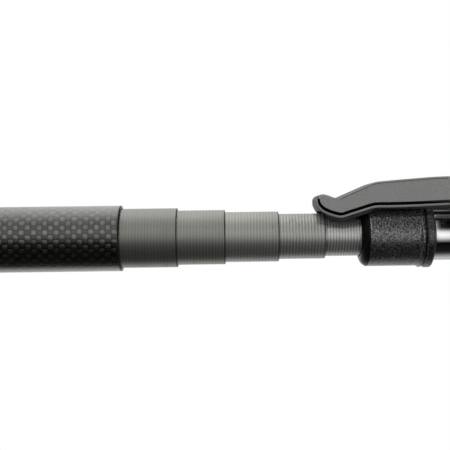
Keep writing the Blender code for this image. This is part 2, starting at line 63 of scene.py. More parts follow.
# clamp head: the cross pin of the lever; "reach" is the distance from the pole axis towards -X
PIVOT_Z = 492.0
PIVOT_REACH = 16.2
PIN_HOLE_R = 1.6

# wound carbon tubes, by section number
# body, outer radius, bore, mouth bore, ridge pitch, ridge height,
# base tone, valley contrast, roughness, gloss, blue share of the tint
SECTIONS = {
    2: ("second_section", 11.40, 10.90, 10.62, 1.187, 0.007, 0.046, 0.23, 0.40, 0.45, 0.905),
    3: ("third_section", 10.49, 10.05, 9.79, 1.200, 0.009, 0.064, 0.28, 0.39, 0.52, 0.905),
    4: ("fourth_section", 9.65, 9.14, 8.86, 1.182, 0.009, 0.090, 0.34, 0.37, 0.62, 0.915),
    5: ("fifth_section", 8.71, 8.20, 7.94, 1.184, 0.010, 0.108, 0.48, 0.35, 0.73, 0.94),
    6: ("head_section", 7.77, 7.02, 7.02, 1.110, 0.016, 0.145, 0.68, 0.31, 0.94, 0.97),
}


def base_of(node):
    return (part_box(node)[0] / MM).z


def top_of(node):
    return (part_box(node)[1] / MM).z


# ------------------------------------------------------------------ shader helpers
MATERIALS = {}


class Nodes:
    """Short names for building a node tree. Values may be numbers, colours or sockets."""

    def __init__(self, tree):
        self.tree = tree

    def put(self, socket, value):
        if hasattr(value, "is_output"):
            self.tree.links.new(value, socket)
        elif isinstance(value, (tuple, list)) and len(value) == 3 and socket.type == "RGBA":
            socket.default_value = (*value, 1.0)
        else:
            socket.default_value = value

    def node(self, kind, inputs=(), **props):
        """inputs is a list in socket order, or a dict by socket name or number."""
        node = self.tree.nodes.new(kind)
        for key, value in props.items():
            setattr(node, key, value)
        for key, value in inputs.items() if isinstance(inputs, dict) else enumerate(inputs):
            self.put(node.inputs[key], value)
        return node

    def math(self, operation, a, b=0.0, c=0.0):
        return self.node("ShaderNodeMath", (a, b, c), operation=operation).outputs[0]

    def add(self, a, b):
        return self.math("ADD", a, b)

    def sub(self, a, b):
        return self.math("SUBTRACT", a, b)

    def mul(self, a, b):
        return self.math("MULTIPLY", a, b)

    def line(self, value, gain, base):
        """value * gain + base"""
        return self.math("MULTIPLY_ADD", value, gain, base)

    def remap(self, value, start, end, low, high, smooth=False):
        """Takes start..end to low..high, held beyond both ends."""
        kind = "SMOOTHSTEP" if smooth else "LINEAR"
        return self.node("ShaderNodeMapRange", (value, start, end, low, high),
                         interpolation_type=kind).outputs[0]

    def xyz(self, vector):
        return self.node("ShaderNodeSeparateXYZ", [vector]).outputs

    def vec(self, x, y, z):
        return self.node("ShaderNodeCombineXYZ", (x, y, z)).outputs[0]

    def rgb(self, value):
        return self.node("ShaderNodeCombineColor", [value] * 3).outputs[0]

    def mix(self, factor, a, b, blend="MIX"):
        return self.node("ShaderNodeMix", {0: factor, 6: a, 7: b},
                         data_type="RGBA", blend_type=blend).outputs[2]


class Material(Nodes):
    """A named material. Lengths inside are millimetres of the rest pose."""

    def __init__(self, name):
        self.material = bpy.data.materials.new(name)
        self.material.use_nodes = True
        super().__init__(self.material.node_tree)
        MATERIALS[name] = self.material

    def surface(self, inputs):
        for name, value in inputs.items():
            self.put(self.tree.nodes["Principled BSDF"].inputs[name], value)

    @cached_property
    def where(self):
        """Rest position."""
        coords = self.node("ShaderNodeTexCoord").outputs["Object"]
        return self.node("ShaderNodeVectorMath", {0: coords, "Scale": 1 / MM},
                         operation="SCALE").outputs[0]

    @cached_property
    def around(self):
        """(turns round the pole axis, height)."""
        x, y, z = self.xyz(self.where)
        return self.math("DIVIDE", self.math("ARCTAN2", y, x), TAU), z

    def noise(self, vector, scale=1.0, detail=3.0, rough=0.5):
        inputs = {"Vector": vector, "Scale": scale, "Detail": detail, "Roughness": rough}
        return self.node("ShaderNodeTexNoise", inputs).outputs["Fac"]

    def wrapped(self, per_turn, per_mm, seed, detail, rough=0.5):
        """Noise laid round the tube, stretched by its rates round and along."""
        turn, z = self.around
        vector = self.vec(self.mul(turn, per_turn), self.mul(z, per_mm), seed)
        return self.noise(vector, detail=detail, rough=rough)

    def voronoi(self, scale):
        inputs = {"Vector": self.where, "Scale": scale}
        return self.node("ShaderNodeTexVoronoi", inputs).outputs["Distance"]

    def grey(self, value, tint=(1.0, 1.0, 1.0)):
        channels = [self.mul(value, share) for share in tint]
        return self.node("ShaderNodeCombineColor", channels).outputs[0]

    def bump(self, height, distance, strength):
        """height is 0..1, distance is millimetres."""
        inputs = {"Strength": strength, "Distance": distance * MM, "Height": height}
        return self.node("ShaderNodeBump", inputs).outputs[0]


# ------------------------------------------------------------------ materials
def weave_material():
    """Plain-weave carbon cloth under a clear, smooth coat."""
    tint = (1.0, 1.0, 0.90)
    tows_round, tow_pitch = 44.0, 2.146
    tone_round, tone_along = 0.009, 0.004     # tows round the tube, tows along it
    g = Material("woven_carbon")
    turn, z = g.around
    # the cloth grid, in tows, wanders a little both ways
    drift_u = g.sub(g.wrapped(per_turn=14.0, per_mm=0.07, seed=3.1, detail=2.0), 0.5)
    drift_v = g.sub(g.wrapped(per_turn=9.0, per_mm=0.09, seed=8.3, detail=2.0), 0.5)
    u = g.add(g.mul(turn, tows_round), g.mul(drift_u, 0.9))
    v = g.add(g.math("DIVIDE", z, tow_pitch), g.mul(drift_v, 0.8))
    cell_u, cell_v = g.math("FLOOR", u), g.math("FLOOR", v)
    in_u, in_v = g.sub(g.sub(u, cell_u), 0.5), g.sub(g.sub(v, cell_v), 0.5)
    # 2000 keeps the sum positive
    parity = g.math("MODULO", g.add(g.add(cell_u, cell_v), 2000.0), 2.0)
    arch_u = g.math("COSINE", g.mul(in_u, math.pi))
    arch_v = g.math("COSINE", g.mul(in_v, math.pi))
    # round-the-tube tows ride over where parity is 1, lengthways tows where it is 0
    across = g.mix(parity, g.grey(arch_u), g.grey(arch_v))
    along = g.mix(parity, g.grey(arch_v), g.grey(arch_u))
    edge = g.math("POWER", g.xyz(across)[0], 0.55)
    crown = g.math("POWER", g.xyz(along)[0], 0.30)
    height = g.mul(edge, crown)
    fibre_a = g.wrapped(per_turn=tows_round * 11, per_mm=0.9, seed=0.0, detail=2.0)
    fibre_b = g.wrapped(per_turn=60.0, per_mm=6.5, seed=4.0, detail=2.0)
    fibre = g.xyz(g.mix(parity, g.grey(fibre_a), g.grey(fibre_b)))[0]
    cell = g.node("ShaderNodeTexWhiteNoise", noise_dimensions="3D")
    g.put(cell.inputs["Vector"], g.vec(cell_u, cell_v, 1.0))
    lot = g.line(cell.outputs["Value"], gain=0.34, base=0.83)      # each tow's own tone
    tow = g.add(g.mul(parity, tone_round - tone_along), tone_along)
    body = g.mul(g.mul(tow, lot), g.line(fibre, gain=0.7, base=0.65))
    # seen at a low angle the cloth blurs into an even sheen under its coat
    facing = g.node("ShaderNodeLayerWeight").outputs["Facing"]
    square_on = g.remap(facing, start=0.06, end=0.34, low=1.0, high=0.0)
    depth = g.line(square_on, gain=0.75, base=0.25)
    shade = g.remap(height, start=0.12, end=0.84, low=0.80, high=0.0)
    gap = g.sub(1.0, g.mul(shade, depth))
    lean = g.mul(g.sub(parity, 0.5), depth)
    shine = g.mul(g.line(lean, gain=0.215, base=0.195), g.mul(lot, gap))
    g.surface({
        "Base Color": g.grey(g.mul(body, gap), tint),
        "Normal": g.bump(g.mul(height, depth), distance=0.15, strength=0.8),
        "Roughness": g.line(fibre, gain=0.12, base=0.29),
        "IOR": 1.95,
        "Specular IOR Level": g.mul(shine, g.line(fibre, gain=0.7, base=0.65)),
        "Specular Tint": tint,
        "Coat Weight": 0.52,
        "Coat Roughness": 0.045,
        "Coat IOR": 1.5,
        "Coat Normal": g.bump(g.noise(g.where, scale=0.35), distance=0.03, strength=0.35),
    })


def wound_material(name, pitch, base, contrast, rough, seed, gloss, grain, tint, top):
    """Satin wound carbon: one fine ridge per turn of the tape; its valleys are darker, partly
    resin-rich tone and partly painted shade.
    """
    g = Material(name)
    turn, z = g.around
    winding = g.add(g.math("DIVIDE", z, pitch), turn)
    wave = g.line(g.math("COSINE", g.mul(winding, TAU)), gain=0.5, base=0.5)
    band = g.noise(g.vec(g.math("FLOOR", winding), seed, 0.0), scale=0.9, detail=0.0)
    wide = g.wrapped(per_turn=5.0, per_mm=0.10, seed=seed, detail=3.0)
    fine = g.wrapped(per_turn=170.0, per_mm=1.6, seed=seed, detail=3.0, rough=0.6)
    smear = g.wrapped(per_turn=11.0, per_mm=0.24, seed=seed + 5.0, detail=4.0, rough=0.6)
    tone = g.line(band, gain=0.10, base=0.95)
    tone = g.mul(tone, g.line(wide, gain=0.22, base=0.89))
    tone = g.mul(tone, g.line(fine, gain=grain, base=1.0 - 0.5 * grain))
    tone = g.mul(tone, g.remap(smear, start=0.66, end=0.76, low=1.0, high=0.72))
    # painted shade: the band just below the mouth is darkened to a fifth, standing in for the
    # shadow line where the step down to the next tube falls
    tone = g.mul(tone, g.remap(z, start=top - 0.56, end=top - 0.30, low=1.0, high=0.20))
    # the valleys are darker, partly the tape's resin-rich tone and partly painted shade of the
    # grooves; more so in the body colour than in the sheen
    matt = g.mul(tone, g.line(wave, gain=1.9 * contrast, base=1.0 - 0.95 * contrast))
    sheen = g.mul(tone, g.line(wave, gain=0.42 * contrast, base=1.0 - 0.21 * contrast))
    dulled = g.remap(smear, start=0.62, end=0.78, low=0.0, high=0.12)
    g.surface({
        "Base Color": g.grey(g.mul(matt, base), tint),
        "Roughness": g.add(g.line(fine, gain=0.06, base=rough - 0.03), dulled),
        "IOR": 1.95,
        "Specular IOR Level": g.mul(sheen, gloss),
        "Specular Tint": tint,
        "Normal": g.bump(fine, distance=0.05 * grain, strength=0.4),
    })


def grain_material(name, dark, light, rough, scale, bump, gloss):
    """Fine-grained matt coating: tiny lighter peaks on a black ground."""
    g = Material(name)
    speckle = g.noise(g.where, scale, detail=1.5, rough=0.55)
    cells = g.voronoi(scale * 1.25)
    cloud = g.noise(g.where, scale=0.16, detail=2.0)
    peak = g.remap(speckle, start=0.44, end=0.62, low=0.0, high=1.0)
    tone = g.line(peak, gain=light - dark, base=dark)
    tone = g.mul(tone, g.line(cloud, gain=0.4, base=0.8))
    g.surface({
        "Base Color": g.grey(tone, tint=(1.0, 1.0, 0.96)),
        "Specular IOR Level": g.mul(gloss, g.line(peak, gain=0.9, base=0.52)),
        "Roughness": g.line(cells, gain=0.15, base=rough),
        "Normal": g.bump(g.add(speckle, g.mul(cells, 0.5)), distance=bump, strength=0.9),
        "IOR": 1.5,
    })


def plastic_material(name, base, rough, mottle, bump, scale, gloss, tint=(1.0, 1.0, 0.985)):
    g = Material(name)
    fine = g.noise(g.where, scale, detail=4.0, rough=0.55)
    cloud = g.noise(g.where, scale=0.12)
    cells = g.voronoi(scale * 1.6)
    tone = g.mul(g.line(fine, gain=mottle, base=1 - mottle / 2),
                 g.line(cloud, gain=0.14, base=0.93))
    g.surface({
        "Specular IOR Level": gloss,
        "Base Color": g.grey(g.mul(tone, base), tint),
        "Roughness": g.line(cloud, gain=0.12, base=rough - 0.06),
        "Normal": g.bump(g.add(fine, g.mul(cells, 0.4)), distance=bump, strength=0.7),
    })


def metal_material(name, colour, rough, lines, line_depth, metallic, wear):
    """Lathe-turned metal: fine rings round the axis, slight stains and a brushed spread."""
    g = Material(name)
    ring = g.wrapped(per_turn=1.2, per_mm=lines, seed=0.0, detail=4.0, rough=0.65)
    cloud = g.noise(g.where, scale=0.25, detail=4.0, rough=0.6)
    tone = g.mul(g.line(ring, gain=0.12, base=0.94),
                 g.line(cloud, gain=wear, base=1 - wear / 2))
    g.surface({
        "Base Color": g.grey(tone, colour),
        "Metallic": metallic,
        "Roughness": g.add(g.line(cloud, gain=0.12, base=rough - 0.06), g.mul(ring, 0.05)),
        "Normal": g.bump(ring, distance=line_depth, strength=0.8),
    })


def scale_material():
    """White coat with ticks facing -Y and red bands on every other 100 mm."""
    # spacing, thickness (mm) and half width (turns) of each set of ticks
    tick_sets = [(10.0, 0.6, 0.10), (50.0, 0.8, 0.20), (5.0, 0.4, 0.055)]
    g = Material("mast_scale")
    turn, z = g.around
    height = g.sub(z, base_of("mast_tube"))
    hundred = g.math("FLOOR", g.math("DIVIDE", height, 100.0))
    off_front = g.math("ABSOLUTE", g.add(turn, 0.25))
    ticks = [g.mul(g.math("LESS_THAN", g.math("MODULO", height, spacing), thickness),
                   g.math("LESS_THAN", off_front, half_width))
             for spacing, thickness, half_width in tick_sets]
    ink = g.math("MAXIMUM", g.math("MAXIMUM", ticks[0], ticks[1]), ticks[2])
    # the bands leave a clear field behind the ticks
    stripe = g.mul(g.math("MODULO", hundred, 2.0), g.math("GREATER_THAN", off_front, 0.30))
    grain = g.noise(g.where, scale=1.2, detail=4.0, rough=0.6)
    white = g.grey(g.line(grain, gain=0.10, base=0.72), tint=(1.0, 1.0, 0.97))
    red = g.grey(g.line(grain, gain=0.2, base=0.9), tint=(0.55, 0.05, 0.03))
    black = (0.015, 0.015, 0.015)
    g.surface({
        "Base Color": g.mix(ink, g.mix(stripe, white, red), black),
        "Roughness": g.line(grain, gain=0.2, base=0.25),
        "Normal": g.bump(g.add(grain, g.mul(ink, -0.6)), distance=0.02, strength=0.5),
        "Coat Weight": 0.4,
    })


def clear_material(name, colour, rough, ior):
    g = Material(name)
    ripple = g.noise(g.where, scale=0.6)
    g.surface({
        "Base Color": colour,
        "Transmission Weight": 1.0,
        "IOR": ior,
        "Roughness": g.line(ripple, gain=0.03, base=rough),
        "Normal": g.bump(ripple, distance=0.01, strength=0.2),
    })


def floor_material():
    """Pale floor whose own glow grows from 0.40 near the pole to 0.70 far out."""
    g = Material("pale_floor")
    mottle = g.noise(g.where, scale=0.02)
    x, y, _ = g.xyz(g.where)
    distance = g.math("SQRT", g.add(g.mul(x, x), g.mul(y, y)))
    glow = g.mul(g.line(mottle, gain=0.04, base=0.98),
                 g.remap(distance, start=150.0, end=1150.0, low=0.40, high=0.70))
    g.surface({
        "Base Color": g.grey(g.line(mottle, gain=0.03, base=0.86)),
        "Roughness": 0.7,
        "Emission Color": g.grey(glow),
        "Emission Strength": 1.0,
    })


# base tone, roughness, mottle, bump depth (mm), grain scale, gloss and, for one, tint
PLASTICS = {
    "mouth_ring_black": (0.008, 0.30, 0.2, 0.006, 2.0, 0.05),
    "nose_gloss_black": (0.004, 0.22, 0.2, 0.006, 2.0, 0.05),
    "lever_satin": (0.242, 0.46, 0.70, 0.016, 1.4, 0.16),
    # darker painted shade for the lever's edge faces
    "lever_wall": (0.060, 0.50, 0.50, 0.016, 1.4, 0.08),
    # near-black painted shade for the lever's lower rim and the inside of its hollow
    "lever_rim": (0.026, 0.44, 0.15, 0.010, 3.0, 0.10),
    # black painted shade for the lever's groove and crease
    "groove_black": (0.004, 0.8, 0.2, 0.006, 3.0, 0.0),
    "lever_bead": (0.185, 0.42, 0.12, 0.010, 3.0, 0.30),
    "bearing_nylon": (0.62, 0.5, 0.10, 0.01, 1.2, 0.5, (1.0, 0.97, 0.88)),
    "black_moulding": (0.022, 0.38, 0.25, 0.012, 2.4, 0.5),
    "vial_mark": (0.01, 0.4, 0.12, 0.012, 3.0, 0.5),
}
# ground tone, peak tone, roughness, grain scale, bump depth (mm), gloss
GRAINS = {
    "sleeve_grain": (0.008, 0.056, 0.17, 2.0, 0.04, 0.95),
    "flange_grain": (0.004, 0.036, 0.22, 2.0, 0.03, 0.6),
    "moulded_rubber": (0.012, 0.030, 0.62, 1.4, 0.03, 0.5),
}
# colour, roughness, rings per mm, ring depth (mm), metallic, wear
METALS = {
    "polished_ferrule": ((0.46, 0.46, 0.465), 0.085, 3.0, 0.0015, 1.0, 0.04),
    "black_anodised": ((0.035, 0.035, 0.037), 0.34, 5.0, 0.008, 0.35, 0.15),
    "turned_steel": ((0.56, 0.56, 0.57), 0.24, 6.0, 0.008, 1.0, 0.15),
}
# colour, roughness, refractive index
CLEARS = {
    "vial_glass": ((0.97, 0.99, 0.95), 0.02, 1.49),
    "vial_liquid": ((0.55, 0.85, 0.12), 0.02, 1.34),
    "vial_bubble": ((1.0, 1.0, 1.0), 0.0, 1.02),
}
for make, table in ((plastic_material, PLASTICS), (grain_material, GRAINS),
                    (metal_material, METALS), (clear_material, CLEARS)):
    for material_name, values in table.items():
        make(material_name, *values)
weave_material()
scale_material()

# material of any CAD piece that is shown as it came, by its slot
SLOT_MATERIAL = {
    "steel": "turned_steel", "black_aluminium": "black_anodised", "rubber": "moulded_rubber",
    "sleeve_rubber": "sleeve_grain", "carbon_weave": "woven_carbon",
    "bearing_nylon": "bearing_nylon", "black_plastic": "black_moulding",
    "lever_plastic": "lever_satin", "polished_metal": "polished_ferrule",
    "mast_coat": "mast_scale", "vial_glass": "vial_glass",
}


# ------------------------------------------------------------------ outlines
def arc(cu, cv, radius, start, end, steps):
    angles = [math.radians(start + (end - start) * i / steps) for i in range(steps + 1)]
    return [(cu + radius * math.cos(a), cv + radius * math.sin(a)) for a in angles]


def through(points, per):
    """Smooth Catmull-Rom line through the points, with per steps between each two."""
    out = []
    for i in range(len(points) - 1):
        near = (points[max(i - 1, 0)], points[i], points[i + 1],
                points[min(i + 2, len(points) - 1)])
        for k in range(per):
            t = k / per
            out.append(tuple(0.5 * (2 * b + (c - a) * t + (2 * a - 5 * b + 4 * c - d) * t * t
                                    + (3 * b - a - 3 * c + d) * t ** 3)
                             for a, b, c, d in zip(*near)))
    out.append(points[-1])
    return out


def raised(profile, base):
    """The profile with its heights measured from base."""
    return [(radius, base + height) for radius, height in profile]


def fillet(loop, radius, skip=(), steps=4):
    """Rounds the corners of a closed loop. radius may be one value or one per corner."""
    loop = [np.array(p, float) for p in loop]
    out = []
    for k, p in enumerate(loop):
        corner_r = radius[k] if isinstance(radius, list) else radius
        if k in skip or corner_r <= 0:
            out.append(tuple(p))
            continue
        to_last, to_next = loop[k - 1] - p, loop[(k + 1) % len(loop)] - p
        last_len, next_len = np.linalg.norm(to_last), np.linalg.norm(to_next)
        to_last, to_next = to_last / last_len, to_next / next_len
        angle = math.acos(float(np.clip(to_last @ to_next, -1, 1)))
        if angle > math.radians(172):
            out.append(tuple(p))
            continue
        cut = min(corner_r / math.tan(angle / 2), 0.45 * last_len, 0.45 * next_len)
        start, end = p + to_last * cut, p + to_next * cut
        for i in range(steps + 1):
            w = i / steps
            out.append(tuple((1 - w) ** 2 * start + 2 * w * (1 - w) * p + w ** 2 * end))
    return out


def dense(profile, step, z_min=-1e9, r_min=0.0, closed=True):
    """Splits the runs beyond r_min and above z_min into pieces of about step."""
    out = []
    count = len(profile)
    for k in range(count if closed else count - 1):
        a, b = np.array(profile[k], float), np.array(profile[(k + 1) % count], float)
        out.append(tuple(a))
        length = np.linalg.norm(b - a)
        if min(a[0], b[0]) >= r_min and z_min <= min(a[1], b[1]) and length > step * 1.5:
            pieces = int(round(length / step))
            for i in range(1, pieces):
                out.append(tuple(a + (b - a) * i / pieces))
    if not closed:
        out.append(tuple(profile[-1]))
    return out


# ------------------------------------------------------------------ meshes
def new_object(name, data):
    obj = bpy.data.objects.new(name, data)
    bpy.context.scene.collection.objects.link(obj)
    return obj


def lathe(profile, segments, shape=None, closed=True, cx=0.0, cy=0.0):
    """Turns a profile round a Z axis. shape(radius, height, angle) gives a new radius."""
    profile = np.asarray(profile, float)
    angles = np.arange(segments) * TAU / segments
    count = len(profile)
    r = np.repeat(profile[:, :1], segments, 1)
    z = np.repeat(profile[:, 1:2], segments, 1)
    t = np.repeat(angles[None, :], count, 0)
    if shape is not None:
        r = shape(r, z, t)
    co = np.stack([cx + r * np.cos(t), cy + r * np.sin(t), z], -1).reshape(-1, 3) * MM
    rows = np.arange(count if closed else count - 1)
    i, j = np.meshgrid(rows, np.arange(segments), indexing="ij")
    i2, j2 = (i + 1) % count, (j + 1) % segments
    corners = [i * segments + j, i2 * segments + j, i2 * segments + j2, i * segments + j2]
    quads = np.stack(corners, -1).reshape(-1, 4)
    mesh = bpy.data.meshes.new("turned")
    mesh.vertices.add(len(co))
    mesh.vertices.foreach_set("co", co.astype(np.float32).ravel())
    mesh.loops.add(quads.size)
    mesh.loops.foreach_set("vertex_index", quads.astype(np.int32).ravel())
    mesh.polygons.add(len(quads))
    mesh.polygons.foreach_set("loop_start", (np.arange(len(quads)) * 4).astype(np.int32))
    mesh.update(calc_edges=True)
    mesh.validate()
    return mesh


def disc(radius, top, bottom, segments, cx=0.0, cy=0.0):
    """A solid cylinder."""
    profile = [(CORE, top), (radius, top), (radius, bottom), (CORE, bottom)]
    return lathe(profile, segments, closed=False, cx=cx, cy=cy)


def face_out(mesh, merge=0.0):
    """Turns all faces outward, after merging points closer than merge (metres)."""
    bm = bmesh.new()
    bm.from_mesh(mesh)
    if merge:
        bmesh.ops.remove_doubles(bm, verts=bm.verts, dist=merge)
    bmesh.ops.recalc_face_normals(bm, faces=bm.faces)
    bm.to_mesh(mesh)
    bm.free()
    return mesh


def slab(loop, half, edge=0.0, matrix=Matrix.Identity(4), edge_steps=3):
    """A filled outline, half thick each way, with its edges rounded by edge."""
    curve = bpy.data.curves.new("slab", "CURVE")
    curve.dimensions = "2D"
    curve.fill_mode = "BOTH"
    curve.extrude = (half - edge) * MM
    if edge:
        curve.bevel_depth = edge * MM
        curve.bevel_resolution = edge_steps
        curve.offset = -edge * MM
    spline = curve.splines.new("POLY")
    spline.points.add(len(loop) - 1)
    for point, (x, y) in zip(spline.points, loop):
        point.co = (x * MM, y * MM, 0.0, 1.0)
    spline.use_cyclic_u = True
    obj = new_object("slab", curve)
    bpy.context.view_layer.update()
    mesh = bpy.data.meshes.new_from_object(obj)
    bpy.data.objects.remove(obj, do_unlink=True)
    return moved(face_out(mesh, merge=2e-6), matrix)


def sweep(points, radius, sides, squash):
    """A bead along 3-D points, closed at both ends with a dome of dome_rows rings."""
    dome_rows = 5
    path = np.array(points, float)
    tangent = np.gradient(path, axis=0)
    tangent /= np.linalg.norm(tangent, axis=1)[:, None]
    across = np.cross(tangent, np.array((0, 1, 0), float))
    across /= np.linalg.norm(across, axis=1)[:, None]
    outward = np.cross(across, tangent)
    angles = np.arange(sides) * TAU / sides
    count = len(path)
    radii = np.full(count, radius)
    for i in range(dome_rows):
        share = math.sqrt(max(0.0, 1 - (1 - (i + 0.15) / dome_rows) ** 2))
        radii[i] *= share
        radii[-1 - i] *= share
    ring = (np.cos(angles)[None, :, None] * across[:, None, :]
            + squash * np.sin(angles)[None, :, None] * outward[:, None, :])
    co = (path[:, None, :] + radii[:, None, None] * ring).reshape(-1, 3)
    faces = []
    for i in range(count - 1):
        a, b = i * sides, (i + 1) * sides
        for j in range(sides):
            j2 = (j + 1) % sides
            faces.append((a + j, a + j2, b + j2, b + j))
    faces.append(tuple(range(sides))[::-1])
    faces.append(tuple((count - 1) * sides + j for j in range(sides)))
    mesh = bpy.data.meshes.new("bead")
    mesh.from_pydata((co * MM).tolist(), [], faces)
    mesh.update()
    return face_out(mesh)


def box(x, y, z):
    """A box between (low, high) pairs."""
    bm = bmesh.new()
    bmesh.ops.create_cube(bm, size=1.0)
    for v in bm.verts:
        v.co = Vector([(c + 0.5) * (high - low) + low
                       for c, (low, high) in zip(v.co, (x, y, z))]) * MM
    mesh = bpy.data.meshes.new("box")
    bm.to_mesh(mesh)
    bm.free()
    return mesh


def carve(mesh, steps):
    """Cuts ("-") or joins ("+") meshes one after another and returns a new mesh."""
    obj = new_object("carve", mesh)
    tools = []
    for sign, tool_mesh in steps:
        tool = new_object("carve_tool", tool_mesh)
        tools.append(tool)
        boolean = obj.modifiers.new("step", "BOOLEAN")
        boolean.operation = {"-": "DIFFERENCE", "+": "UNION"}[sign]
        boolean.solver = "EXACT"
        boolean.object = tool
    bpy.context.view_layer.update()
    depsgraph = bpy.context.evaluated_depsgraph_get()
    out = bpy.data.meshes.new_from_object(obj.evaluated_get(depsgraph))
    for used in (*tools, obj):
        bpy.data.objects.remove(used, do_unlink=True)
    return out


def joined(meshes):
    bm = bmesh.new()
    for mesh in meshes:
        bm.from_mesh(mesh)
    out = bpy.data.meshes.new("joined")
    bm.to_mesh(out)
    bm.free()
    return out


def moved(mesh, matrix):
    mesh.transform(matrix)
    return mesh


def shift(y=0.0, z=0.0):
    return Matrix.Translation((0, y * MM, z * MM))


def crosswise(x, z):
    """Turns a Z-axis mesh so its +Z points to world -Y, centred on (x, z)."""
    return Matrix(((1, 0, 0, x * MM), (0, 0, -1, 0), (0, 1, 0, z * MM), (0, 0, 0, 1)))


def hexed(across_flats):
    """A lathe shape that limits the radius to a hexagon."""
    def shape(r, z, t):
        from_flat = np.degrees(t) % 60.0 - 30.0
        return np.minimum(r, across_flats / 2 / np.cos(np.radians(from_flat)))
    return shape


def surface_grain(rows, columns, passes):
    """Random heights of unit spread, blurred with their neighbours in each pass."""
    grain = RNG.normal(size=(rows, columns))
    for _ in range(passes):
        grain = (grain + np.roll(grain, 1, 0) + np.roll(grain, -1, 0)
                 + np.roll(grain, 1, 1) + np.roll(grain, -1, 1)) / 5
    return grain / grain.std()


def add_piece(node, mesh, material, body, sharp=40, name=None):
    """Adds a finished mesh in place of a CAD node, or as an extra where node is None."""
    name = name or f"{node}_visual"
    mesh.name = name
    mesh.materials.clear()
    mesh.materials.append(MATERIALS[material])
    mesh.shade_smooth()
    if sharp:
        mesh.set_sharp_from_angle(angle=math.radians(sharp))
    obj = new_object(name, mesh)
    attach(obj, body)
    if node:
        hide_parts(node)


def add_turned(node, profile, material, body, segments=96, shape=None, closed=True,
               cx=0.0, sharp=40, name=None):
    mesh = lathe(profile, segments, shape, closed, cx)
    add_piece(node, mesh, material, body, sharp, name)


# ------------------------------------------------------------------ foot of the pole
POINT = [
    (CORE, 70.0), (4.4, 70.0), (4.8, 69.6), (4.8, 36.6), (7.2, 36.1), (8.4, 35.9),
    (9.2, 35.1), (9.24, 34.6), (9.24, 31.4), (9.2, 30.9), (8.4, 30.1), (7.6, 29.9),
    (7.2, 29.5), (7.2, 26.6), (7.0, 26.1), (5.7, 22.6), (5.45, 21.7), (4.6, 17.0),
    (1.25, 0.9), (1.05, 0.3), (0.8, 0.0), (CORE, 0.0)]


def point_shape(r, z, t):
    """A hexagon on the collar and fine turning marks on the cone."""
    collar = (z > 29.0) & (z < 36.3) & (r > 7.5)
    r = np.where(collar, hexed(16.0)(r, z, t), r)
    return r - 0.03 * (0.5 + 0.5 * np.cos(TAU * z / 0.9)) * (z > 1.5) * (z < 21.5)


add_turned("steel_point", dense(POINT, 1.2, closed=False), "turned_steel", "butt",
           segments=120, shape=point_shape, closed=False, sharp=30, name="point_visual")

JAM_NUT = [(9.6, 43.7), (10.4, 43.1), (10.4, 37.1), (9.6, 36.5), (5.1, 36.5), (5.1, 43.7)]
add_turned("jam_nut", dense(fillet(JAM_NUT, 0.25), 1.0), "turned_steel", "butt",
           segments=120, shape=hexed(18.0), sharp=30)

BUTT_CAP = [
    (11.2, 72.0), (11.55, 71.6), (11.55, 54.0), (12.7, 54.0), (12.7, 49.5), (12.35, 49.2),
    (12.35, 48.4), (12.7, 48.1), (12.7, 45.4), (11.6, 44.0), (5.4, 44.0), (5.1, 44.3),
    (5.1, 70.4), (5.6, 72.0)]
add_turned("butt_cap", fillet(BUTT_CAP, 0.18), "black_anodised", "butt")

# six ribs of the same shape down the bumper
RIB_TOP, RIB_PITCH = 65.9, 2.6
RIB = [(15.0, 0.9), (15.0, -0.5), (14.55, -0.8), (14.55, -1.4)]
bumper = [(13.9, 68.0), (14.6, 67.3)]
for rib in range(6):
    bumper += raised(RIB, RIB_TOP - rib * RIB_PITCH)
bumper += [(15.0, 50.9), (14.6, 50.0), (13.0, 50.0), (13.0, 68.0)]
add_turned("butt_bumper", fillet(bumper, 0.25, steps=3), "moulded_rubber", "butt",
           segments=112)

# ------------------------------------------------------------------ butt tube and its mouth
BUTT_R = 12.70
LINER_R, MOUTH_R = 11.85, 11.56
tube_top, tube_base = top_of("butt_tube") + 0.30, base_of("butt_tube")
butt_tube = fillet(
    [(BUTT_R, tube_top), (BUTT_R, tube_base), (LINER_R, tube_base), (LINER_R, 336.0),
     (MOUTH_R, 336.6), (MOUTH_R, tube_top)],
    [0.22, 0.2, 0.1, 0, 0, 0.1], steps=5)


def butt_shape(r, z, t):
    """A slight waviness of the outer skin."""
    wave = 0.004 * np.sin(3 * t + z * 0.05) + 0.003 * np.sin(5 * t - z * 0.11)
    return r + np.where(r > 12.6, wave, 0.0)


add_turned("butt_tube", dense(butt_tube, 6.0, r_min=12.0), "woven_carbon", "butt",
           segments=160, shape=butt_shape, sharp=50)

ring_top, ring_base = top_of("mouth_ring") - 0.02, base_of("mouth_ring") + 0.20
mouth_ring = fillet(
    [(12.62, ring_top), (12.66, ring_base), (MOUTH_R, ring_base), (MOUTH_R, ring_top)],
    [0.15, 0.03, 0.03, 0.12], steps=6)
add_turned("mouth_ring", mouth_ring, "mouth_ring_black", "butt", segments=160)


